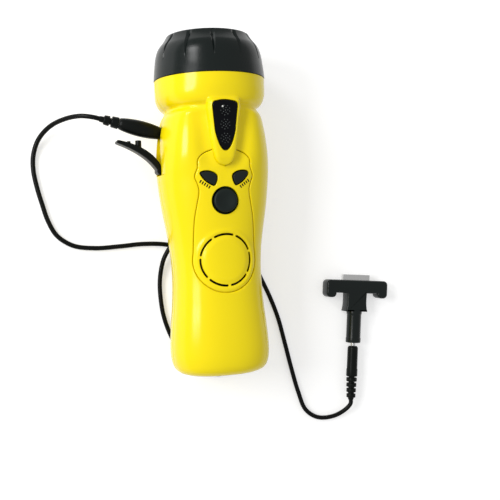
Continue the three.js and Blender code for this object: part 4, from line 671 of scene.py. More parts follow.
@dataclass(frozen=True)
class HousingForm:
    """Outer form of the housing, in millimetres."""

    length: float = 166.0
    half_width: float = 31.2
    front: float = 31.2
    back: float = 31.2
    front_squareness: float = 2.25
    back_squareness: float = 2.7
    collar_start: float = 0.892
    tail_trim: float = 2.2
    tail_reach: float = 34.0
    ridge_start: float = 116.6
    ridge_end: float = 156.5
    ridge_fade: float = 149.6
    ridge_sink: float = 5.0
    ridge_half_width: float = 9.4
    ridge_rise: float = 4.4
    ridge_foot: float = 22.2
    ridge_power: float = 5.0
    ridge_fillet: float = 1.2
    flank_slope: float = 3.0
    tip_slope: float = 6.0
    valley_depth: float = 1.9
    valley_place: float = 2.8
    valley_width: float = 5.0
    valley_end: tuple[float, float] = (143.0, 151.0)
    valley_tip: tuple[float, float] = (112.0, 121.0)
    valley_tip_loss: float = 0.45
    lobe_rise: float = 1.3
    lobe_place: float = 22.5
    lobe_width: float = 8.0
    lobe_start: tuple[float, float] = (108.0, 126.0)
    lobe_end: tuple[float, float] = (145.0, 150.5)
    neck_station: float = 149.7
    neck_bow: float = 1.5
    neck_depth: float = 0.8
    neck_width: float = 2.3
    speaker_station: float = 65.8
    panel_ring: float = 17.6
    panel_top: float = 125.3
    slot_radius: float = 14.0
    ring_rise: float = 0.45
    ring_width: float = 1.3
    disc_rise: float = 0.55
    disc_slope: float = 3.5
    seam_lip: float = 0.5
    base_drop: float = 0.01

    def along(self, y: np.ndarray) -> np.ndarray:
        """Share of the length at a station; the tail is drawn in a little."""
        inner = self.tail_reach * (y - self.tail_trim) / (self.tail_reach - self.tail_trim)
        return np.where(y < self.tail_reach, inner, y) / self.length

    def width_at(self, y: np.ndarray) -> np.ndarray:
        """Half width at a station."""
        return sample(SECTION_SHARES, self.along(y), 1) * self.half_width

    def height_at(self, y: np.ndarray | float, front: bool) -> np.ndarray:
        """Height of the front, or depth of the back, from the long axis at a station."""
        column, size = (2, self.front) if front else (3, self.back)
        return sample(SECTION_SHARES, self.along(y), column) * size

    def power_at(self, y: np.ndarray, front: bool) -> np.ndarray:
        """Squareness of the section at a station, which is round at the collar."""
        square = self.front_squareness if front else self.back_squareness
        return square + (2 - square) * smooth_step(y / self.length, self.collar_start, 1)

    def dome(self, x: np.ndarray, y: np.ndarray) -> np.ndarray:
        """Height of the bare front over the long axis: a superellipse across each station."""
        power = self.power_at(y, True)
        share = np.clip(np.abs(x) / self.width_at(y), 0, 1) ** power
        return self.height_at(y, True) * (1 - share) ** (1 / power)

    def ridge_share(self, y: np.ndarray) -> np.ndarray:
        """Place of a station along the ridge, from 0 at its tip to 1 at the collar."""
        return (y - self.ridge_start) / (self.ridge_end - self.ridge_start)

    def ridge_width(self, y: np.ndarray) -> np.ndarray:
        """Half width of the ridge at a station."""
        return sample(RIDGE_SHARES, self.ridge_share(y), 1) * self.ridge_half_width

    def ridge(self, x: np.ndarray, y: np.ndarray) -> np.ndarray:
        """Height of the ridge: a square superellipse across, over a crown that climbs.

        Past its sides and its tip it falls away in slopes, and it sinks into the collar at its end.
        """
        share = np.clip(self.ridge_share(y), 0, 1)
        start = self.height_at(self.ridge_start, True)
        crown = start + (self.front - self.ridge_rise - start) * share
        crown = crown + sample(RIDGE_SHARES, share, 2) * self.ridge_rise
        half = np.maximum(self.ridge_width(y), 0.05)
        across = np.abs(x) / half
        arch = (1 - np.clip(across, 0, 1) ** self.ridge_power) ** (1 / self.ridge_power)
        top = self.ridge_foot + (crown - self.ridge_foot) * arch
        top = top - self.flank_slope * np.maximum(across - 1, 0) * half
        top = top - self.tip_slope * np.maximum(self.ridge_start - y, 0)
        return top - self.ridge_sink * smooth_step(y, self.ridge_fade, self.ridge_end)

    def valley(self, x: np.ndarray, y: np.ndarray) -> np.ndarray:
        """Depth of the soft valley round the ridge, over the distance from its edge."""
        stations = np.linspace(self.ridge_start, self.ridge_end, 60)
        run = np.stack([self.ridge_width(stations), stations], axis=1)
        away = distance_to(run, np.abs(x), y)
        away = np.where((np.abs(x) < self.ridge_width(y)) & (y > self.ridge_start), 0, away)
        depth = self.valley_depth * bell(away, self.valley_place, self.valley_width)
        tip = 1 - self.valley_tip_loss * smooth_fall(y, *self.valley_tip)
        return depth * smooth_fall(y, *self.valley_end) * tip

    def lobe(self, x: np.ndarray, y: np.ndarray) -> np.ndarray:
        """Rise of the two soft lobes beside the ridge, which fade out at the buttons."""
        rise = self.lobe_rise * bell(np.abs(x), self.lobe_place, self.lobe_width)
        return rise * smooth_step(y, *self.lobe_start) * smooth_fall(y, *self.lobe_end)

    def neck(self, x: np.ndarray, y: np.ndarray) -> np.ndarray:
        """Depth of the crease under the collar, which bows towards the tail at the sides."""
        station = self.neck_station - self.neck_bow * (x / self.half_width) ** 2
        return self.neck_depth * bell(y, station, self.neck_width)

    def speaker(self, x: np.ndarray, y: np.ndarray) -> np.ndarray:
        """Rise of the ring and the disc of the speaker over the front."""
        away = np.hypot(x, y - self.speaker_station)
        edge = self.slot_radius
        ring = self.ring_rise * bell(away, (edge + self.panel_ring) / 2, self.ring_width)
        return ring + self.disc_rise * smooth_fall(away, edge - self.disc_slope, edge)

    def face(self, x: np.ndarray, y: np.ndarray) -> np.ndarray:
        """Height of the front face from the resting surface."""
        dome = self.dome(x, y)
        crease = self.neck(x, y) * np.clip(dome / self.ridge_half_width, 0, 1)
        bare = dome + self.lobe(x, y) - self.valley(x, y) - crease
        return AXIS + np.minimum(smooth_top(bare, self.ridge(x, y), self.ridge_fillet), self.front)

    def panel_face(self, x: np.ndarray, y: np.ndarray) -> np.ndarray:
        """Height of the control panel from the resting surface."""
        return self.face(x, y) + self.speaker(x, y)

    def half(
        self, front: bool, inset: float, stations: np.ndarray, columns: int, base: float
    ) -> Patch:
        """Upper or lower half of the housing's volume, with its skin drawn in by an inset.

        Each ring runs over the half section and back along a flat base.
        """
        y = stations[:, None]
        angle = np.linspace(0, np.pi, columns)[None, :]
        power = self.power_at(y, front)
        half = self.width_at(y) - inset
        cosine = np.cos(angle)
        x = half * np.sign(cosine) * np.abs(cosine) ** (2 / power)
        x = x - np.sign(x) * self.neck(x, y) * np.abs(cosine)
        if front and inset == 0:
            full = x * self.width_at(y) / (self.width_at(y) - self.neck(x, y))
            z = np.maximum(self.face(full, y), base)
            z[:, 0] = z[:, -1] = base
        else:
            rise = self.height_at(y, front) - inset - self.neck(x, y)
            rise = rise * np.sin(angle) ** (2 / power)
            z = np.maximum(AXIS + rise, base) if front else np.minimum(AXIS - rise, base)
        if inset == 0:
            lip = np.clip(1 - np.abs(z - base) / self.seam_lip, 0, 1)
            x = x - np.sign(x) * self.seam_lip * lip
        rings = np.stack([x, np.broadcast_to(y, x.shape), z], axis=2)
        feet = np.stack([rings[:, 0], rings[:, -1]], axis=1)
        feet[:, :, 2] = base - self.base_drop if front else base + self.base_drop
        return loft(np.concatenate([feet[:, :1], rings, feet[:, 1:]], axis=1))


# Housing.
@dataclass
class Housing:
    """Two shells, the control panel, the signal window, the screws and the heel pad."""

    form: HousingForm = field(default_factory=HousingForm)
    wall: float = 2.4
    gap: float = 0.3
    seam: float = 0.3
    seam_rim: float = 0.75
    panel_thickness: float = 1.3
    panel_join: float = 0.2
    grid_step: float = 0.35
    pocket_step: float = 0.6
    fine_step: float = 0.3
    spigot_radius: float = 26.9
    spigot_bore: float = 24.6
    spigot_length: float = 10.0
    slot_width: float = 1.2
    slot_count: int = 7
    bridge: float = 0.17
    slot_turn: float = 0.09
    power_station: float = 98.0
    power_radius: float = 6.4
    power_gap: float = 0.5
    button_gap: float = 0.65
    button_rim: float = 0.35
    slot_rim: float = 0.12
    ridge_gap: float = 0.12
    leaf_outer: tuple[float, float] = (13.3, 113.0)
    leaf_tip: tuple[float, float] = (6.1, 106.4)
    leaf_inner: tuple[float, float] = (4.6, 110.9)
    leaf_bends: tuple[tuple[float, float], tuple[float, float]] = ((9.8, 114.8), (11.2, 108.4))
    window_tip: float = 124.6
    window_top: float = 150.4
    window_half: float = 6.9
    window_recess: float = 0.35
    window_thickness: float = 1.8
    window_rims: tuple[float, float] = (0.4, 0.3)
    pip_stations: tuple[float, ...] = (131.0, 138.3, 145.6)
    pip_rings: tuple[tuple[int, float], ...] = ((5, 1.3), (9, 2.5))
    pip_radius: float = 0.33
    # Spot of one pale pip that is a painted glint, not a lamp.
    glint_spot: Triple = (-1.5, 147.6, 0.5)
    hub_station: float = 86.0
    hub_hole: float = 3.3
    sweep: float = 41.0
    saddle_margin: float = 1.6
    saddle_height: float = 19.5
    saddle_draft: float = 3.4
    saddle_corner: float = 2.6
    recess_floor: float = 27.2
    notch_floor: float = 29.6
    recess_start: float = 113.4
    recess_end: float = 147.2
    recess_half: float = 4.5
    recess_wall: float = 2.0
    jack: tuple[float, float] = (137.4, 25.4)
    jack_tilt: float = 14.0
    socket_radius: float = 4.3
    root_place: tuple[float, float] = (-29.4, 116.6)
    root_radius: float = 2.5
    heel_half: tuple[float, float] = (11.0, 12.0)
    heel_height: float = 3.3
    heel_corner: float = 4.0
    screw_places: tuple[tuple[float, float], ...] = (
        (-16.5, 11), (16.5, 11), (-18.6, 148.6), (18.6, 148.6),
    )
    screw_head: float = 2.6
    screw_seat: float = 4.5
    screw_height: float = 1.8
    screw_shank: float = 1.3
    screw_reach: float = 5.0
    cross: tuple[float, float] = (1.5, 0.28)
    cross_depth: float = 1.0

    def build(self) -> None:
        """Builds every piece of the housing."""
        self.front_shell()
        self.rear_shell()
        self.control_panel()
        self.signal_window()
        heel = round_box(*self.heel_half, self.heel_corner, 0, HEEL_STATION)
        make("heel_foot", pillow(heel, 0, self.heel_height, 0.5), RUBBER, Body.HOUSING, "heel_pad")
        self.screws()

    def panel_outline(self) -> np.ndarray:
        """Panel outline: a round speaker end under waisted sides, mirrored about the middle."""
        form = self.form
        arc = form.panel_ring * ray(np.linspace(-np.pi / 2, self.panel_join, 60))
        arc[:, 1] += form.speaker_station
        scale = np.array([form.panel_top - form.speaker_station, form.panel_ring])
        shares = PANEL_SHARES * scale + np.array([form.speaker_station, 0])
        sides = np.vstack([arc[-1, ::-1], shares])
        y = np.linspace(sides[0, 0], sides[-1, 0], 160)[1:]
        right = np.vstack([arc, np.column_stack([sample(sides, y, 1), y])])
        return even_loop(mirrored(right), 640, soften=6)

    def window_outline(self) -> np.ndarray:
        """Window outline: a drop with its tip towards the tail."""
        tip, top, half = self.window_tip, self.window_top, self.window_half
        waist = tip + 0.4 * (top - tip)
        bend = (half * 0.72, waist - half / 3)
        drop = bezier([(0, tip), (half * 0.45, tip), bend, (half * 0.8, waist)])
        corner = bezier([(half, top - half / 3), (half, top), (half * 0.72, top)])
        crown = bezier([(half * 0.72, top), (half * 0.3, top + half / 9), (0, top + half / 9)])
        return even_loop(mirrored(np.vstack([drop, corner, crown])), 260, soften=4)

    def leaf_outline(self, side: float) -> np.ndarray:
        """Outline of a leaf-shaped button on one side."""
        outer, tip, inner = self.leaf_outer, self.leaf_tip, self.leaf_inner
        over, under = self.leaf_bends
        upper = bezier([outer, over, (inner[0], outer[1] - 0.2), inner])
        back = bezier([inner, (inner[0], (inner[1] + tip[1]) / 2), tip], 12)
        shape = np.vstack([upper, back, bezier([tip, under, outer])])
        return even_loop(shape * np.array([side, 1.0]), 160, soften=8)

    def ridge_outline(self) -> np.ndarray:
        """Outline of the ridge from its tip to the collar."""
        start, end = self.form.ridge_start, self.form.ridge_end
        y = span((start, start + 4, 24), (start + 4, end, 60))
        return even_loop(mirrored(np.column_stack([self.form.ridge_width(y), y])), 300)

    def slot_outlines(self) -> list[np.ndarray]:
        """Outlines of the curved slots round the speaker, each with round ends."""
        radius, half = self.form.slot_radius, self.slot_width / 2
        step = 2 * np.pi / self.slot_count
        cap = np.linspace(0, np.pi, 7)[1:-1]
        shapes = []
        for k in range(self.slot_count):
            start = step * k + self.bridge / 2 + self.slot_turn - np.pi / 2
            angle = np.linspace(start, start + step - self.bridge, 50)
            last = radius * ray(angle[-1]) + half * ray(angle[-1] + cap)
            first = radius * ray(angle[0]) + half * ray(angle[0] + np.pi + cap)
            outer, inner = (radius + half) * ray(angle), (radius - half) * ray(angle)
            shape = np.vstack([outer, last, inner[::-1], first])
            shapes.append(even_loop(shape + np.array([0, self.form.speaker_station]), 180))
        return shapes

    def button_outlines(self, margin: float) -> list[np.ndarray]:
        """Outlines of the three buttons' openings with a margin; the round one's is wider."""
        opening = disc(self.power_radius + self.power_gap, 0, self.power_station)
        shapes = [opening, self.leaf_outline(1), self.leaf_outline(-1)]
        return [grown(shape, margin) for shape in shapes]

    def shell(
        self, name: str, front: bool, columns: int, counts: tuple[int, int]
    ) -> tuple[bpy.types.Object, bpy.types.Object]:
        """Solid of a shell with its half of the bezel's spigot, and the solid that hollows it."""
        form, first, last = self.form, self.form.tail_trim, self.form.length
        stations = span(
            (first, first + 3, 10), (first + 3, 14, 14), (14, 112, counts[0]),
            (112, 160, counts[1]), (160, last, 8),
        )
        base, past = (AXIS, AXIS - OVERRUN) if front else (AXIS - self.gap, AXIS + OVERRUN)
        piece = add_object(name, form.half(front, 0, stations, columns, base))
        run = self.spigot_radius * ray(np.linspace(0, np.pi, 90) * (1 if front else -1))
        z = np.maximum(AXIS + run[:, 1], base) if front else np.minimum(AXIS + run[:, 1], base)
        rings = [
            np.column_stack([run[:, 0], np.full(len(run), station), z])
            for station in (last - self.wall, last + self.spigot_length)
        ]
        carve(piece, loft(np.array(rings)), Carving.JOIN)
        inner = span((first + self.wall, last - self.wall, 50))
        return piece, add_object("hollow", form.half(front, self.wall, inner, 60, past))

    def bore(self) -> Patch:
        """Round hole through the collar and the spigot."""
        start = self.form.length - self.wall - OVERRUN
        end = self.form.length + self.spigot_length + OVERRUN
        return lying(rod(self.spigot_bore, start, end), 120, (0, 0, AXIS))

    def front_shell(self) -> None:
        """Upper shell, with pockets for the panel and the window."""
        form = self.form
        piece, hollow = self.shell("front_cover", True, 260, (60, 120))
        block, notch = self.recess_outlines(self.notch_floor)
        carve(hollow, prism(block, 0, ABOVE))
        carve(piece, hollow)
        carve(piece, prism(notch, 0, ABOVE))
        carve(piece, self.bore())
        pocket = plate(
            "pocket", grown(self.panel_outline(), self.seam), form.face,
            (form.panel_ring + 3, form.speaker_station - form.panel_ring - 2, form.panel_top + 2),
            (-self.panel_thickness - self.gap, 8), self.pocket_step,
            AXIS + self.wall, self.seam_rim, True,
        )
        carve(pocket, prism(self.ridge_outline(), 0, ABOVE))
        carve(piece, pocket)
        pocket = plate(
            "pocket", grown(self.window_outline(), self.seam), form.face,
            (self.window_half + 2, self.window_tip - 2, self.window_top + 3),
            (-self.window_recess - self.window_thickness - self.gap, 6), self.pocket_step,
            AXIS, self.window_rims[0], True,
        )
        carve(piece, pocket)
        opening = disc(form.slot_radius + self.slot_width, 0, form.speaker_station)
        for shape in [*self.button_outlines(self.button_gap + self.seam), opening]:
            carve(piece, prism(shape, AXIS + self.wall, ABOVE))
        dress(piece, YELLOW, Body.HOUSING, "front_shell")

    def saddle(self, margin: float) -> Patch:
        """Hollow under the torch in which the crank turns: a tray-shaped section carried across."""
        reach = self.sweep + self.saddle_margin + margin
        foot = reach + self.saddle_draft
        top, corner = self.saddle_height + margin, self.saddle_corner if margin == 0 else 0
        run = rounded_profile([
            (-foot, -OVERRUN, 0), (-reach, top, corner), (reach, top, corner), (foot, -OVERRUN, 0),
        ])
        run[:, 0] += self.hub_station
        tool = prism(run, -2 * self.form.half_width, 2 * self.form.half_width)
        return Patch(tool.points[:, [2, 0, 1]], tool.faces).outward()

    def rear_shell(self) -> None:
        """Lower shell, with the saddle, the recess of the jack and the screw holes."""
        piece, hollow = self.shell("rear_cover", False, 200, (40, 60))
        carve(piece, self.saddle(0))
        carve(hollow, self.saddle(self.wall))
        low, high = self.jack[1] - self.recess_half - 1.2, AXIS + 2 * OVERRUN
        carve(hollow, prism(self.recess_outlines(self.recess_floor)[0], low, high))
        carve(piece, hollow)
        carve(piece, self.bore())
        self.jack_holes(piece)
        carve(piece, prism(disc(self.hub_hole, 0, self.hub_station), 0, AXIS + OVERRUN))
        for x, y in self.screw_places:
            top = self.seat(y) + self.screw_height
            carve(piece, prism(disc(self.screw_head + self.gap, x, y), -OVERRUN, top))
        dress(piece, YELLOW, Body.HOUSING, "rear_shell")

    def recess_outlines(self, floor: float) -> tuple[np.ndarray, np.ndarray]:
        """Outlines from above of the wall round a recess of the jack, and of the recess itself."""
        start, end = self.recess_start, self.recess_end
        middle, half = (start + end) / 2, (end - start) / 2
        wide, wall = self.form.half_width, self.recess_wall
        reach, open_reach = wide - floor + 2 * wall, 2 * OVERRUN + wide - floor
        block = round_box(reach / 2, half + wall, 1, -wide + reach / 2, middle)
        return block, round_box(open_reach / 2, half, 1.2, -floor - open_reach / 2, middle)

    def jack_holes(self, piece: bpy.types.Object) -> None:
        """Cuts the flap's recess, open to the front, the seat of its root and the socket's hole."""
        low, high = self.jack[1] - self.recess_half, self.jack[1] + self.recess_half
        carve(piece, pillow(self.recess_outlines(self.recess_floor)[1], low, high + AXIS, 0.8))
        carve(piece, prism(disc(self.root_radius, *self.root_place), low, high))
        place = (-self.recess_floor, *self.jack)
        carve(piece, lying(rod(self.socket_radius, -1, 20), 48, place, -self.jack_tilt))

    def control_panel(self) -> None:
        """Faceplate over the front shell, with the ring, disc and slots of the speaker."""
        form = self.form
        box = (form.panel_ring + 1, form.speaker_station - form.panel_ring - 1, form.panel_top + 1)
        piece = plate(
            "faceplate", self.panel_outline(), form.panel_face, box,
            (-self.panel_thickness, 0), self.grid_step, AXIS, self.seam_rim,
        )
        carve(piece, prism(grown(self.ridge_outline(), self.ridge_gap), 0, ABOVE))
        openings = [(shape, self.button_rim) for shape in self.button_outlines(self.button_gap)]
        openings += [(shape, self.slot_rim) for shape in self.slot_outlines()]
        for shape, rim in openings:
            carve(piece, rim_tool(shape, form.panel_face, AXIS, rim, True))
        dress(piece, YELLOW, Body.HOUSING, "control_panel")

    def signal_window(self) -> None:
        """Smoked window with three round fields of low pips whose grey is partly painted glint, and
        one pale pip that is a painted glint.
        """

        def plain(x: np.ndarray, y: np.ndarray) -> np.ndarray:
            """Face of the window, let into the ridge."""
            return self.form.face(x, y) - self.window_recess

        piece = plate(
            "signal_glass", grown(self.window_outline(), -0.05), plain,
            (self.window_half + 1, self.window_tip - 1, self.window_top + 2),
            (-self.window_thickness, 0), self.fine_step, AXIS, self.window_rims[1],
        )
        dress(piece, SMOKED, Body.HOUSING, "signal_window", limit=60)
        spots = [np.zeros((1, 2))]
        for count, radius in self.pip_rings:
            spots.append(radius * ray(np.arange(count) * 2 * np.pi / count + radius))
        pips = [
            self.pip(plain, dx, middle + dy, self.pip_radius)
            for middle in self.pip_stations for dx, dy in np.vstack(spots)
        ]
        # The pips' grey is partly painted glint over real domes.
        make("signal_pips", reduce(Patch.plus, pips), PIP_GREY_GLINT, Body.HOUSING)
        # A pale acetal pip stands where a glint shows: painted highlight.
        make("painted_glint_pip", self.pip(plain, *self.glint_spot), ACETAL, Body.HOUSING)

    @staticmethod
    def pip(face: Height, x: float, y: float, radius: float) -> Patch:
        """Low dome on a face, with its foot a little below it."""
        dome = radius * ray(np.linspace(0, np.pi / 2, 5))[:, ::-1] * np.array([0.7, 1.0])
        profile = np.vstack([[[-0.15, 0], [-0.15, radius]], dome])
        return standing(profile, 14, (x, y, height_of(face, x, y)))

    def seat(self, y: float) -> float:
        """Height at which the head of a screw starts."""
        return AXIS - float(self.form.height_at(y, False)) + self.screw_seat

    def screws(self) -> None:
        """Four pan-head screws with a cross recess, seen from behind."""
        head, shank, height = self.screw_head, self.screw_shank, self.screw_height
        for number, (x, y) in enumerate(self.screw_places, start=1):
            seat = self.seat(y)
            end = AXIS - seat + self.screw_reach
            profile = rounded_profile([
                (0, 0, 0), (0, head, 0.8), (height, head, 0.1), (height, shank, 0),
                (end, shank, 0.3), (end, 0, 0),
            ])
            piece = add_object(f"case_screw_{number}", standing(profile, 40, (x, y, seat)))
            for half in (self.cross, self.cross[::-1]):
                slot = round_box(*half, 0.1, x, y, 40)
                carve(piece, prism(slot, seat - 1, seat + self.cross_depth))
            dress(piece, STEEL, Body.HOUSING, f"housing_screw_{number}")


# Buttons.
@dataclass
class Controls:
    """Round power button and the two leaf buttons, with printed marks beside them."""

    housing: Housing
    rise: float = 0.9
    edge: float = 1.1
    leaf_rise: float = 0.45
    leaf_rim: float = 0.5
    leaf_box: Triple = (15.0, 104.0, 116.5)
    leaf_stem: tuple[float, float] = (8.1, 109.6)
    depth: float = 5.2
    stem: float = 1.6
    switch_top: float = 47.9
    dish: float = 1.0
    tick_count: int = 5
    tick_start: tuple[float, float] = (13.4, 108.5)
    tick_step: tuple[float, float] = (-1.15, -0.8)
    tick_half: tuple[float, float] = (0.36, 0.85)
    tick_lean: float = 0.55
    tick_rise: tuple[float, float] = (-0.1, 0.03)

    def build(self) -> None:
        """Builds the buttons and their marks."""
        self.power()
        self.leaf("scan_button", 1.0, Body.SCAN)
        self.leaf("reset_button", -1.0, Body.RESET)
        self.marks()

    def power(self) -> None:
        """Round button with a dished top and a rounded rim."""
        station, radius = self.housing.power_station, self.housing.power_radius
        top = AXIS + float(self.housing.form.height_at(station, True)) + self.rise
        share = np.linspace(0, 1, 16)
        dish = np.column_stack([-self.dish * (1 - share**2) ** 1.5, share * (radius - self.edge)])
        rim = np.linspace(np.pi / 2, 0, 8)[1:]
        fall, inset = 0.9 * (1 - np.sin(rim) ** 0.8), self.edge * (1 - np.cos(rim))
        edge = np.column_stack([-fall, radius - inset])
        profile = np.vstack([dish, edge, [[-self.depth, radius], [-self.depth, 0]]])
        piece = add_object("power_key", standing(profile, 96, (0, station, top)))
        self.finish_button(piece, 0, station, top, "power_button", Body.POWER)

    def leaf(self, name: str, side: float, body: Body) -> None:
        """Leaf-shaped button whose top follows the panel."""

        def top(x: np.ndarray, y: np.ndarray) -> np.ndarray:
            """Face of the button: the panel's face, raised."""
            return self.housing.form.face(x, y) + self.leaf_rise

        piece = plate(
            name.replace("button", "key"), self.housing.leaf_outline(side), top, self.leaf_box,
            (-self.depth, 0), self.housing.fine_step, AXIS, self.leaf_rim,
        )
        x, y = self.leaf_stem
        self.finish_button(piece, side * x, y, height_of(top, x, y), name, body)

    def finish_button(
        self, piece: bpy.types.Object, x: float, y: float, top: float, name: str, body: Body
    ) -> None:
        """Joins the stem under a button, which ends over its switch, and dresses the button."""
        stem = prism(disc(self.stem, x, y, 32), self.switch_top, top - self.depth + 1)
        carve(piece, stem, Carving.JOIN)
        dress(piece, BUTTON, body, name)

    def marks(self) -> None:
        """Short printed ticks below each leaf button, laid on a slant."""
        corners = np.array([[-1, -1], [1, -1], [1, 1], [-1, 1]]) * np.array(self.tick_half)
        ticks = []
        for side in (-1.0, 1.0):
            lean = side * self.tick_lean
            turn = np.array([ray(lean), ray(lean + np.pi / 2)])
            for k in range(self.tick_count):
                place = np.array(self.tick_start) + k * np.array(self.tick_step)
                outline = corners @ turn + place * np.array([side, 1.0])
                z = self.housing.form.face(outline[:, 0], outline[:, 1])
                rings = [at_level(outline, z + rise) for rise in self.tick_rise]
                ticks.append(loft(np.array(rings)))
        make("key_marks", reduce(Patch.plus, ticks), PRINT, Body.HOUSING)


# Lamp head.
@dataclass
class LampHead:
    """Screwed bezel with twelve notches, the lens and its seal, the reflector and three lamps."""

    base: float = 166.3
    tip: float = 190.8
    radius: float = 31.2
    rim: float = 23.2
    opening: float = 22.6
    thread_radius: float = 27.2
    notch_count: int = 12
    notch_phase: float = -9.0
    notch_length: float = 15.4
    notch_half: tuple[float, float] = (0.22, 2.1)
    notch_depth: float = 1.7
    sector_columns: int = 40
    notch_share: float = 0.3
    lens_base: float = 178.1
    lens_radius: float = 25.9
    lens_thickness: float = 2.5
    lens_dome: float = 0.7
    seal: tuple[float, float] = (180.9, 182.4)
    seal_width: float = 1.7
    gap: float = 0.3
    reflector_depth: float = 16.4
    reflector_floor: float = 9.6
    reflector_rim: float = 24.3
    reflector_wall: float = 1.4
    flange: float = 25.7
    flange_height: float = 1.5
    front: float = 176.3
    lamp_circle: float = 5.2
    lamp_radius: float = 2.5
    lamp_foot: float = 2.95
    lamp_hole: float = 2.8

    def build(self) -> None:
        """Builds every piece of the head."""
        self.bezel()
        self.lens()
        self.reflector()

    def outer_profile(self) -> np.ndarray:
        """Outer run of the bezel from its base to the inner edge of its rim, at even steps."""
        start, tip, radius = self.base, self.tip, self.radius
        run = rounded_profile([
            (start, radius - 0.6, 0), (start, radius, 0.4), (start + 5.0, 30.8, 2.0),
            (start + 16.3, 29.35, 6.0), (start + 21.3, 25.0, 3.5), (tip, self.rim, 0.5),
            (tip, self.opening + 0.2, 0.15), (tip - 1.2, self.opening, 0),
        ], steps=8)
        length = np.concatenate([[0], np.cumsum(np.hypot(*np.diff(run, axis=0).T))])
        wanted = np.unique(np.concatenate([length, np.linspace(0, length[-1], 110)]))
        return np.stack([np.interp(wanted, length, run[:, k]) for k in range(2)], axis=1)

    def notch_angles(self, inner: np.ndarray) -> np.ndarray:
        """Angles of the columns of one sector, which bunch up at its notch."""
        u = np.linspace(-1, 1, self.sector_columns, endpoint=False)[None, :]
        share = self.notch_share
        far = inner + (np.abs(u) - share) / (1 - share) * (np.pi / self.notch_count - inner)
        return np.sign(u) * np.where(np.abs(u) < share, np.abs(u) / share * inner, far)

    def bezel(self) -> None:
        """Bezel: a turned ring whose radius dips in a V at each notch.

        The floor and both edges of each V fall on columns all the way along.
        """
        run = self.outer_profile()
        station, radius = run[:, :1], run[:, 1:]
        reach = np.clip((station - (self.tip - self.notch_length)) / self.notch_length, 0, 1)
        past_tip = np.clip((radius - self.opening - 0.2) / 3.0, 0, 1)
        slim, wide = self.notch_half
        inner = (slim + (wide - slim) * reach) / self.radius
        local = self.notch_angles(inner)
        dip = self.notch_depth * reach**0.75 * past_tip * np.clip(1 - np.abs(local) / inner, 0, 1)
        turns = np.arange(self.notch_count) * 2 * np.pi / self.notch_count
        turns = turns + math.radians(self.notch_phase)
        angle = (local[:, None, :] + turns[None, :, None]).reshape(len(run), -1)
        around = np.tile(radius - dip, (1, self.notch_count))
        seat, bore, thread = self.seal[0] + 1.8, self.lens_radius + self.gap, self.thread_radius
        inside = np.array([
            (seat, self.opening), (seat, bore), (self.front, bore), (self.front, thread),
            (self.base, thread),
        ])
        station = np.vstack([station, inside[:, :1]])
        angle = np.vstack([angle, np.tile(angle[-1], (len(inside), 1))])
        around = np.vstack([around, np.broadcast_to(inside[:, 1:], (len(inside), angle.shape[1]))])
        level = AXIS + around * np.cos(angle)
        along = np.broadcast_to(station, angle.shape)
        grid = np.stack([around * np.sin(angle), along, level], axis=2)
        faces = grid_faces(len(grid), grid.shape[1], around=True, closed=True)
        ring = Patch(grid.reshape(-1, 3), [faces]).outward()
        make("bezel_ring", ring, CHARCOAL, Body.BEZEL, "bezel")

    def lens(self) -> None:
        """Lens with a slight dome, and the seal ring in front of it."""
        base, radius, axis = self.lens_base, self.lens_radius, (0, 0, AXIS)
        share = np.linspace(0, 1, 14)
        top = base + self.lens_thickness
        dome = np.column_stack([top - self.lens_dome * share**2, share * (radius - 0.5)])
        edge = [[base + 1.6, radius], [base + 0.3, radius], [base, radius - 0.3], [base, 0]]
        make("front_lens", lying(np.vstack([dome, edge]), 128, axis), CLEAR, Body.BEZEL, "lens")
        low, high = self.seal
        inner = radius - self.seal_width
        ring = rounded_profile([
            (low, inner, 0), (low, radius, 0.3), (high, radius, 0.3), (high, inner, 0.3),
            (low, inner, 0),
        ])[:-1]
        make("lens_gasket", lying(ring, 128, axis, closed=True), RUBBER, Body.BEZEL, "lens_seal")

    def reflector(self) -> None:
        """Parabolic dish with a flat floor, and three domed lamps in it."""
        flange_top = self.front + self.flange_height
        floor, wall = flange_top - self.reflector_depth, self.reflector_wall
        radius = np.linspace(self.reflector_floor, self.reflector_rim - wall, 30)
        rise = (radius**2 - radius[0] ** 2) / (radius[-1] ** 2 - radius[0] ** 2)
        dish = np.column_stack([floor + wall + rise * (self.reflector_depth - wall), radius])
        back = dish[::-1] + np.array([-wall, wall])
        back[0] = (self.front, self.reflector_rim)
        flange = [[flange_top, self.flange], [self.front, self.flange]]
        profile = np.vstack([[[floor + wall, 0]], dish, flange, back, [[floor, 0]]])
        piece = add_object("reflector_dish", lying(profile, 120, (0, 0, AXIS)))
        size, foot = self.lamp_radius, self.lamp_foot
        dome = size * ray(np.linspace(0, np.pi / 2, 10))[:, ::-1] + np.array([3.5, 0])
        lamp = np.vstack([[[0, 0], [0, foot], [1.1, foot], [1.1, size]], dome])
        for number in range(3):
            x, z = self.lamp_circle * ray(np.pi / 2 - 2 * np.pi * number / 3) + np.array([0, AXIS])
            carve(piece, lying(rod(self.lamp_hole, floor - 4, floor + 4), 32, (x, 0, z)))
            bulb = lying(lamp, 40, (x, floor - 1.4, z))
            make(f"lamp_{number + 1}", bulb, CLEAR, Body.HOUSING, f"white_led_{number + 1}")
        dress(piece, MIRROR, Body.HOUSING, "reflector")


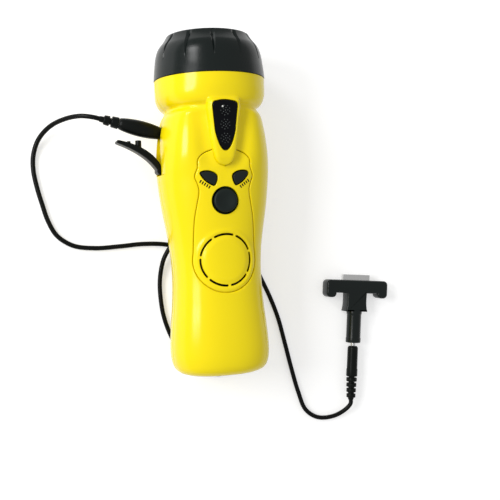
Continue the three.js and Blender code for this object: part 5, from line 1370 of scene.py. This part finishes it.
# Crank.
@dataclass
class Crank:
    """Arm, hub and folding knob in the saddle on the back."""

    hub: tuple[float, float] = (0.0, 86.0)
    hub_radius: float = 10.0
    hub_thickness: float = 3.3
    screw_recess: tuple[float, float] = (2.9, 1.8)
    screw_hole: float = 1.6
    top: float = 19.2
    gap: float = 0.3
    arm_thickness: float = 6.0
    arm_half: float = 9.6
    fork_pivot: float = 34.5
    fork_half: float = 6.2
    fork_round: float = 1.7
    pin_radius: float = 1.6
    bracket_half: float = 3.6
    knob_radius: float = 5.6
    knob_length: float = 20.0
    knob_bore: float = 2.4
    knob_waist: float = 0.7
    ring_height: float = 0.12
    ring_pitch: float = 2.5

    def build(self) -> None:
        """Builds the visible pieces of the crank."""
        x, y = self.hub
        top = self.top - self.hub_thickness - self.gap
        base = top - self.arm_thickness
        pivot = (x, y + self.fork_pivot, (top + base) / 2)
        piece = add_object("crank_lever", pillow(self.arm_outline(), base, top, 1.2))
        recess, depth = self.screw_recess
        carve(piece, prism(disc(recess, x, y), base - 1, base + depth))
        carve(piece, prism(disc(self.screw_hole, x, y), base - 1, top + 1))
        carve(piece, lying(rod(self.pin_radius, -12, 12), 24, pivot, 0))
        dress(piece, YELLOW, Body.CRANK, "crank_arm")
        self.grip(pivot)

    def arm_outline(self) -> np.ndarray:
        """Arm seen from below: round at the hub, with a fork for the knob."""
        tip = self.fork_pivot + self.bracket_half
        start = self.fork_pivot - self.bracket_half - self.knob_length - 2.7
        half, fork, bend = self.arm_half, self.fork_half, self.fork_round
        hub = self.hub_radius * ray(np.linspace(-np.pi, 0, 60))
        right = np.vstack([
            [[half, start]], bezier([(half, tip - 2.8), (half, tip), (half - bend, tip)]),
            bezier([(half - bend, tip), (fork, tip), (fork, tip - bend)]),
            bezier([(fork, start + fork), (fork, start), (0, start)]),
        ])
        return even_loop(np.vstack([hub, mirrored(right)]), 360, soften=2) + np.array(self.hub)

    def grip(self, pivot: Triple) -> None:
        """Knob with a waist and shallow finger rings, folded into the fork."""
        length, start = self.knob_length, self.bracket_half + self.gap
        end, hollow = start + length, start + length - 1.7
        place = np.linspace(0, length, 60)
        rings = self.ring_height * np.cos(place * 2 * np.pi / self.ring_pitch)
        waist = self.knob_radius - self.knob_waist * np.sin(np.pi * place / length) ** 2 + rings
        ends = np.sqrt(np.clip(np.minimum(place, length - place) / 2.0, 0, 1))
        outer = np.column_stack([start + place, waist * (0.72 + 0.28 * ends)])
        bore = [[hollow, 0], [hollow, self.knob_bore], [start, self.knob_bore]]
        patch = lying(np.vstack([bore, outer, [[end, 0]]]), 64, pivot, -FORWARD)
        make("crank_grip", patch, CHARCOAL, Body.KNOB, "crank_knob")


# Lead.
LEAD_POINTS = np.array([
    [-61.0, 145.85, 25.4], [-64.8, 146.8, 25.4], [-71.5, 147.9, 22.6], [-79.5, 147.2, 15.6],
    [-87.2, 143.9, 8.6], [-93.2, 137.4, 3.6], [-96.2, 129.0, 1.75], [-96.6, 120.5, 1.42],
    [-95.1, 111.0, 1.42], [-92.6, 101.0, 1.42], [-89.8, 91.5, 1.42], [-85.2, 83.0, 1.42],
    [-76.5, 77.0, 1.42], [-64.0, 75.0, 1.42], [-50.0, 75.4, 1.42], [-36.0, 76.2, 1.42],
    [-22.0, 75.2, 1.42], [-8.5, 71.0, 1.42], [3.5, 62.5, 1.42], [12.0, 51.0, 1.42],
    [16.6, 38.0, 1.42], [18.3, 24.0, 1.42], [18.4, 11.0, 1.42], [15.8, 1.0, 1.42],
    [8.5, -3.9, 1.42], [-1.0, -2.2, 1.42], [-10.5, 5.2, 1.42], [-18.2, 14.0, 1.42],
    [-23.0, 24.0, 1.42], [-25.9, 34.0, 1.42], [-27.1, 44.0, 1.42], [-27.2, 53.0, 1.55],
    [-26.2, 61.0, 2.5], [-24.2, 68.0, 4.0], [-19.6, 75.0, 4.9], [-12.5, 80.6, 3.6],
    [-3.5, 84.0, 1.9], [6.5, 84.6, 1.42], [16.5, 81.4, 1.42], [25.0, 74.0, 1.42],
    [30.8, 64.0, 1.42], [35.0, 53.5, 1.42], [40.6, 41.0, 1.42], [45.6, 27.0, 1.42],
    [49.2, 12.0, 1.42], [52.8, -4.0, 1.42], [56.8, -19.5, 1.42], [61.2, -31.0, 1.42],
    [69.0, -36.6, 1.42], [79.0, -37.0, 1.7], [86.6, -33.8, 3.0],
])


@dataclass
class Lead:
    """Charging lead with its near plug, its far plug and the adapter pushed onto that."""

    radius: float = 1.35
    gap: float = 0.3
    near: Triple = (-27.2, 137.4, 25.4)
    tilt: float = 14.0
    far: Triple = (90.6, -26.2, 4.8)
    turn: float = -5.0
    plug_radius: float = 3.25
    plug_length: float = 24.4
    plug_swell: float = 1.25
    step_place: float = 9.0
    step_depth: float = 0.16
    relief_length: float = 10.6
    core: float = 1.9
    far_relief: float = 13.4
    rib_count: int = 4
    far_radius: float = 3.5
    far_length: float = 19.0
    barrel_place: float = 2.2
    barrel_length: float = 19.6
    barrel_radius: float = 4.5
    barrel_bore: tuple[float, float] = (2.05, 14.3)
    block_half: float = 7.4
    cross_place: float = 13.0
    cross_length: float = 6.6
    cross_half: float = 20.6
    ear: float = 4.4
    mouth: Triple = (3.4, 9.3, 1.7)

    def build(self) -> None:
        """Builds the cord and all that is on it."""
        pieces = [self.near_plug(), self.near_relief(), *self.far_plug()]
        self.cord()
        self.adapter()

    def route(self) -> np.ndarray:
        """Middle line of the cord: a centripetal spline through the route's points."""
        back = np.array([*ray(math.radians(self.turn) - np.pi / 2), 0.0])
        far = np.array(self.far)
        knots = np.vstack([LEAD_POINTS, far + 2.5 * self.radius * back, far + self.gap * back])
        knots = np.vstack([2 * knots[0] - knots[1], knots, 2 * knots[-1] - knots[-2]])
        step = np.sqrt(np.linalg.norm(np.diff(knots, axis=0), axis=1))[:, None]
        p0, p1, p2, p3 = knots[:-3], knots[1:-2], knots[2:-1], knots[3:]
        d0, d1, d2 = step[:-2], step[1:-1], step[2:]
        m1 = ((p1 - p0) / d0 - (p2 - p0) / (d0 + d1) + (p2 - p1) / d1) * d1
        m2 = ((p2 - p1) / d1 - (p3 - p1) / (d1 + d2) + (p3 - p2) / d2) * d1
        t = np.linspace(0, 1, 24, endpoint=False)[None, :, None]
        shares = [2 * t**3 - 3 * t**2 + 1, t**3 - 2 * t**2 + t, 3 * t**2 - 2 * t**3, t**3 - t**2]
        pairs = zip(shares, (p1, m1, p2, m2), strict=True)
        line = sum(share * part[:, None] for share, part in pairs)
        return np.vstack([line.reshape(-1, 3), knots[-2]])

    def cord(self) -> None:
        """Cord jacket: a circle carried along the route, with its up side kept uppermost."""
        line = self.route()
        ahead = unit(np.gradient(line, axis=0))
        side = unit(np.cross(ahead, [0.0, 0.0, 1.0]))
        up = np.cross(side, ahead)
        angle = np.linspace(0, 2 * np.pi, 16, endpoint=False)[None, :, None]
        spokes = np.cos(angle) * side[:, None] + np.sin(angle) * up[:, None]
        rings = line[:, None] + self.radius * spokes
        piece = make("charging_cord", loft(rings), CORD_JACKET, Body.HOUSING, "lead_cord")

    def near_piece(
        self, name: str, node: str, profile: np.ndarray, columns: int
    ) -> bpy.types.Object:
        """Turned rubber piece on the line of the jack."""
        patch = lying(profile, columns, self.near, 180 - self.tilt)
        return make(name, patch, RUBBER, Body.HOUSING, node)

    def far_line(self, patch: Patch) -> Patch:
        """Puts a surface on the line of the far plug."""
        return patch.placed(facing("Z", FORWARD + self.turn, self.far))

    def near_plug(self) -> bpy.types.Object:
        """Moulded plug body that swells in the middle, with a fine step on its way."""
        start, end, radius = self.gap, self.gap + self.plug_length, self.plug_radius
        share = np.linspace(0, 1, 30)[1:-1]
        along = start + 0.8 + share * (self.plug_length - 1.8)
        around = radius + self.plug_swell * np.sin(np.pi * share) ** 0.8
        around -= self.step_depth * np.exp(-(((along - start - self.step_place) / 0.3) ** 4))
        profile = np.vstack([
            [(start, 0), (start, radius - 0.5), (start + 0.4, radius - 0.1)],
            np.column_stack([along, around]),
            [(end - 0.5, radius - 0.1), (end, radius - 0.6), (end, 0)],
        ])
        return self.near_piece("near_plug", "jack_plug", profile, 56)

    def near_relief(self) -> bpy.types.Object:
        """Two ribs of the strain relief on a slim core."""
        start, core = self.gap + self.plug_length + self.gap, self.core
        end = start + self.relief_length
        profile = rounded_profile([
            (start, 0, 0), (start, 3.3, 0.3), (start + 3.9, 3.1, 0.5), (start + 3.9, core, 0.2),
            (start + 5.0, core, 0.2), (start + 5.0, 2.9, 0.4), (start + 8.2, 2.6, 0.6),
            (start + 8.2, 1.75, 0.2), (end, 1.6, 0.3), (end, 0, 0),
        ])
        return self.near_piece("near_relief", "plug_relief", profile, 48)

    def far_plug(self) -> list[bpy.types.Object]:
        """Ribbed relief and straight body of the far plug."""
        ribs: list[Triple] = [(-1.0, 0, 0), (-1.0, 1.65, 0.3)]
        core, pitch = self.core, self.far_relief / self.rib_count
        for k in range(self.rib_count):
            low, high, radius = k * pitch + 0.5, (k + 0.86) * pitch, 2.85 + 0.16 * k
            ribs += [(low, core, 0.15), (low, radius, 0.4), (high, radius, 0.4), (high, core, 0.15)]
        ribs += [(self.far_relief, core, 0.1), (self.far_relief, 0, 0)]
        start, radius = self.far_relief + self.gap, self.far_radius
        end = start + self.far_length
        body = [
            (start, 0, 0), (start, radius, 0.7), (start + 4.6, radius, 0.1),
            (start + 4.9, radius - 0.2, 0.1), (end - 0.9, radius - 0.25, 0.5),
            (end, radius - 0.9, 0.3), (end, 0, 0),
        ]
        pieces = []
        for name, node, run, columns in (
            ("far_strain_relief", "far_relief", ribs, 48), ("far_plug_body", "far_plug", body, 56),
        ):
            patch = self.far_line(revolved(rounded_profile(run), columns))
            pieces.append(make(name, patch, RUBBER, Body.HOUSING, node))
        return pieces

    def adapter(self) -> None:
        """Adapter: a socket barrel, a block and a cross head with two curled ears."""
        start = self.far_relief + self.gap + self.far_length + self.barrel_place
        block = start + self.barrel_length
        cross = block + self.cross_place
        end = cross + self.cross_length
        half, waist, ear = self.cross_half, self.block_half, self.ear
        bar = round_box((end - cross + 1.5) / 2, half, 3.2, (end + cross - 1.5) / 2, 0, 240)
        piece = add_object("adapter_body", self.far_line(pillow(bar, -4.6, 4.6, 1.4)))
        parts = []
        for side in (-1.0, 1.0):
            place = ((end + cross - ear) / 2, side * (half - 0.75 * ear))
            shape = round_box((end - cross + ear) / 2, 0.75 * ear, 2.6, *place, 200)
            parts.append(pillow(shape, -4.5, 4.5, 1.3))
        flank = bezier([(block, -waist), (block + 3.5, -waist + 1.5), (cross + 2, -waist + 0.6)])
        outline = even_loop(np.vstack([flank, flank[::-1] * np.array([1.0, -1.0])]), 200, soften=2)
        radius, last = self.barrel_radius, block + 1.0
        barrel = rounded_profile([
            (start, 2.2, 0), (start, radius + 0.2, 0.6), (start + 3.0, radius + 0.2, 0.1),
            (start + 3.2, radius, 0.1), (block - 2.0, radius, 0.4),
            (block - 1.4, radius + 0.3, 0.3), (last, radius + 0.3, 0.2), (last, 2.2, 0),
        ])
        solid = np.vstack([[[start, 0]], barrel[:-1], [[last, 0]]])
        for part in [*parts, pillow(outline, -4.4, 4.4, 1.0), revolved(solid, 64)]:
            carve(piece, self.far_line(part), Carving.JOIN)
        bore, depth = self.barrel_bore
        carve(piece, self.far_line(revolved(rod(bore, start - OVERRUN, start + depth), 32)))
        half_x, half_y, half_z = self.mouth
        carve(piece, self.far_line(prism(round_box(half_x, half_y, 0.4, end, 0), -half_z, half_z)))
        dress(piece, CHARCOAL, Body.ADAPTER, "charging_adapter")


# Flap.
@dataclass
class JackCover:
    """Rubber flap that closes the jack, held by its round root and bent well away."""

    pivot: Triple = (-29.4, 116.6, 25.4)
    reach: tuple[float, float] = (23.0, 16.4)
    thickness: float = 2.9
    half_height: float = 4.0
    root: float = 2.2
    pegs: tuple[tuple[int, float, float], ...] = ((37, 1.7, 5.6), (48, 1.1, 2.7))

    def build(self) -> None:
        """Builds the strip, which is thickest in the middle, its root and its pegs."""
        reach_x, reach_y = self.reach
        line = bezier([(0, 0), (-reach_x * 0.22, reach_y * 0.68), (-reach_x, reach_y)], 60)
        along = unit(np.gradient(line, axis=0))
        normal = np.stack([-along[:, 1], along[:, 0]], axis=1)
        t = np.linspace(0, 1, len(line))[:, None]
        half = self.thickness / 2 * (1 + 1.5 * t * (1 - t) - 0.35 * t**2)
        turn = np.linspace(np.pi / 2, -np.pi / 2, 9)[1:-1, None]
        cap = line[-1] + half[-1] * (np.cos(turn) * along[-1] + np.sin(turn) * normal[-1])
        loop = np.vstack([line + half * normal, cap, (line - half * normal)[::-1]])
        high, root = self.half_height, self.root
        strip = pillow(even_loop(loop, 260, soften=2), -high, high, 0.6)
        strip = strip.placed(Matrix.Translation(self.pivot))
        piece = add_object("jack_flap", strip)
        profile = rounded_profile([
            (-high, 0, 0), (-high, root, 0.5), (high, root, 0.5), (high, 0, 0),
        ])
        carve(piece, standing(profile, 40, self.pivot), Carving.JOIN)
        for row, radius, height in self.pegs:
            peg = rounded_profile([
                (0, 0, 0), (0, radius, 0), (height, radius, 0.4), (height, 0, 0),
            ])
            spot = np.array(self.pivot) + np.array([*line[row], 0.0])
            carve(piece, lying(peg, 32, tuple(spot)), Carving.JOIN)
        dress(piece, RUBBER, Body.COVER, "jack_cover")


# Nodes kept from the frame.
KEPT_NODES: tuple[tuple[Finish, tuple[str, ...]], ...] = (
    (DARK, ("power_switch", "scan_switch", "reset_switch", "speaker_cone")),
    (CIRCUIT, ("signal_board", "lamp_board", "main_board")),
    (ACETAL, ("signal_led_1", "signal_led_2", "signal_led_3", "compound_gear")),
    (BRASS, ("crank_gear",)),
    (STEEL, ("generator_rotor", "gearbox_plate", "crank_screw", "hinge_pin", "knob_bracket")),
    (BLACKENED, ("speaker_frame",)),
    (COPPER, ("generator_coil",)),
    (CHARCOAL, ("crank_hub", "battery_tray", "jack_socket")),
    (SLEEVE, ("battery_cell_1", "battery_cell_2", "battery_cell_3")),
    (NICKEL, ("plug_pin", "far_pin", "adapter_contacts")),
)


def paint_kept(nodes: dict[str, bpy.types.Object]) -> None:
    """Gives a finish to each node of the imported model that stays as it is."""
    for finish, names in KEPT_NODES:
        for name in names:
            node = nodes[name]
            mark_sharp(node.data, SHARP_ANGLE)
            node.data.materials.clear()
            node.data.materials.append(finish.build())


# Studio.
def looking(eye: Vector, back: Vector, roll: float = 0.0) -> Matrix:
    """Place of a camera or lamp with its back to a direction and its up side along the torch."""
    up = Vector((0.0, 1.0, 0.0))
    up = (up - back * up.dot(back)).normalized()
    turn = Matrix((up.cross(back), up, back)).transposed() @ Matrix.Rotation(roll, 3, "Z")
    return Matrix.Translation(eye * MM) @ turn.to_4x4()


def add_to_scene(name: str, data: bpy.types.ID) -> bpy.types.Object:
    """Adds an object with its data to the scene."""
    item = bpy.data.objects.new(name, data)
    bpy.context.scene.collection.objects.link(item)
    return item


@dataclass(frozen=True)
class Studio:
    """Camera nearly straight over the torch, a pale floor and soft light from the upper left."""

    target: Triple = (21.87, 45.08, 25.0)
    azimuth: float = 17.724
    elevation: float = -0.963
    roll: float = -2.45
    distance: float = 500.0
    focal_pixels: float = 862.0
    picture: float = 500.0
    sensor: float = 36.0
    sky: float = 0.53
    key_energy: float = 4.1
    head_share: float = 0.5
    floor_size: float = 6.0
    floor_level: float = -0.0003
    floor_shade: float = 0.72
    floor_glow: float = 0.5

    def build(self) -> None:
        """Sets up the view, the camera, the light and the floor."""
        bpy.context.scene.view_settings.view_transform = "Standard"
        self.camera()
        self.world()
        key, head = self.key_energy, self.key_energy * self.head_share
        self.lamp("key", (-700.0, 205.0, 580.0), 110.0, (350.0, 340.0), key)
        self.lamp("head", (-570.0, 600.0, 540.0), 140.0, (250.0, 190.0), head)
        self.floor()

    def camera(self) -> None:
        """Places the camera that sees the torch as the photograph does."""
        azimuth, elevation = math.radians(self.azimuth), math.radians(self.elevation)
        back = Vector((-math.tan(azimuth), -math.tan(elevation), 1.0)).normalized()
        data = bpy.data.cameras.new("camera")
        data.sensor_width = self.sensor
        data.lens = self.focal_pixels / self.picture * self.sensor
        data.clip_start = 0.01
        camera = add_to_scene("camera", data)
        eye = Vector(self.target) + back * self.distance
        camera.matrix_world = looking(eye, back, math.radians(self.roll))
        bpy.context.scene.camera = camera

    def world(self) -> None:
        """Plain white sky of one even level."""
        world = bpy.data.worlds.new("sky")
        bpy.context.scene.world = world
        world.use_nodes = True
        background = world.node_tree.nodes["Background"]
        set_inputs(background, {"Color": (1.0, 1.0, 1.0, 1.0), "Strength": self.sky})

    @staticmethod
    def lamp(
        name: str, place: Triple, station: float, size: tuple[float, float], energy: float
    ) -> None:
        """Adds a soft rectangular lamp aimed at a station, its second side along the torch."""
        data = bpy.data.lights.new(name, "AREA")
        data.shape = "RECTANGLE"
        data.size, data.size_y = (side * MM for side in size)
        data.energy = energy
        back = (Vector(place) - Vector((0.0, station, 30.0))).normalized()
        add_to_scene(name, data).matrix_world = looking(Vector(place), back)

    @staticmethod
    def seen(nodes: bpy.types.Nodes, links: bpy.types.NodeLinks) -> bpy.types.NodeSocket:
        """Output that is 1 for rays of the camera, in gloss and through glass."""
        path = nodes.new("ShaderNodeLightPath")
        result = path.outputs["Is Camera Ray"]
        for name in ("Is Glossy Ray", "Is Transmission Ray"):
            either = nodes.new("ShaderNodeMath")
            either.operation = "MAXIMUM"
            links.new(result, either.inputs[0])
            links.new(path.outputs[name], either.inputs[1])
            result = either.outputs[0]
        return result

    def floor(self) -> None:
        """Pale floor whose colour shows near white and which keeps the torch's shadow."""
        mesh = bpy.data.meshes.new("floor")
        size, level = self.floor_size, self.floor_level
        corners = [(x * size, y * size, level) for x, y in ((-1, -1), (1, -1), (1, 1), (-1, 1))]
        mesh.from_pydata(corners, [], [(0, 1, 2, 3)])
        floor = add_to_scene("floor", mesh)
        material = bpy.data.materials.new("floor_paper")
        material.use_nodes = True
        nodes, links = material.node_tree.nodes, material.node_tree.links
        shader = set_inputs(nodes["Principled BSDF"], {
            "Base Color": (*(self.floor_shade,) * 3, 1.0), "Roughness": 0.9,
            "Specular IOR Level": 0.0, "Emission Color": (1.0, 1.0, 1.0, 1.0),
        })
        glow = nodes.new("ShaderNodeMath")
        glow.operation = "MULTIPLY"
        glow.inputs[1].default_value = self.floor_glow
        links.new(self.seen(nodes, links), glow.inputs[0])
        links.new(glow.outputs[0], shader.inputs["Emission Strength"])
        mesh.materials.append(material)


def main() -> None:
    """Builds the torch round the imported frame."""
    logging.basicConfig(level=logging.INFO, format="%(message)s")
    bpy.ops.wm.read_factory_settings(use_empty=True)
    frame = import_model()
    Studio().build()
    Lead().build()
    paint_kept(frame["nodes"])
    housing = Housing()
    for part in (housing, Controls(housing), LampHead(), Crank(), JackCover()):
        part.build()


if __name__ == "__main__":
    main()
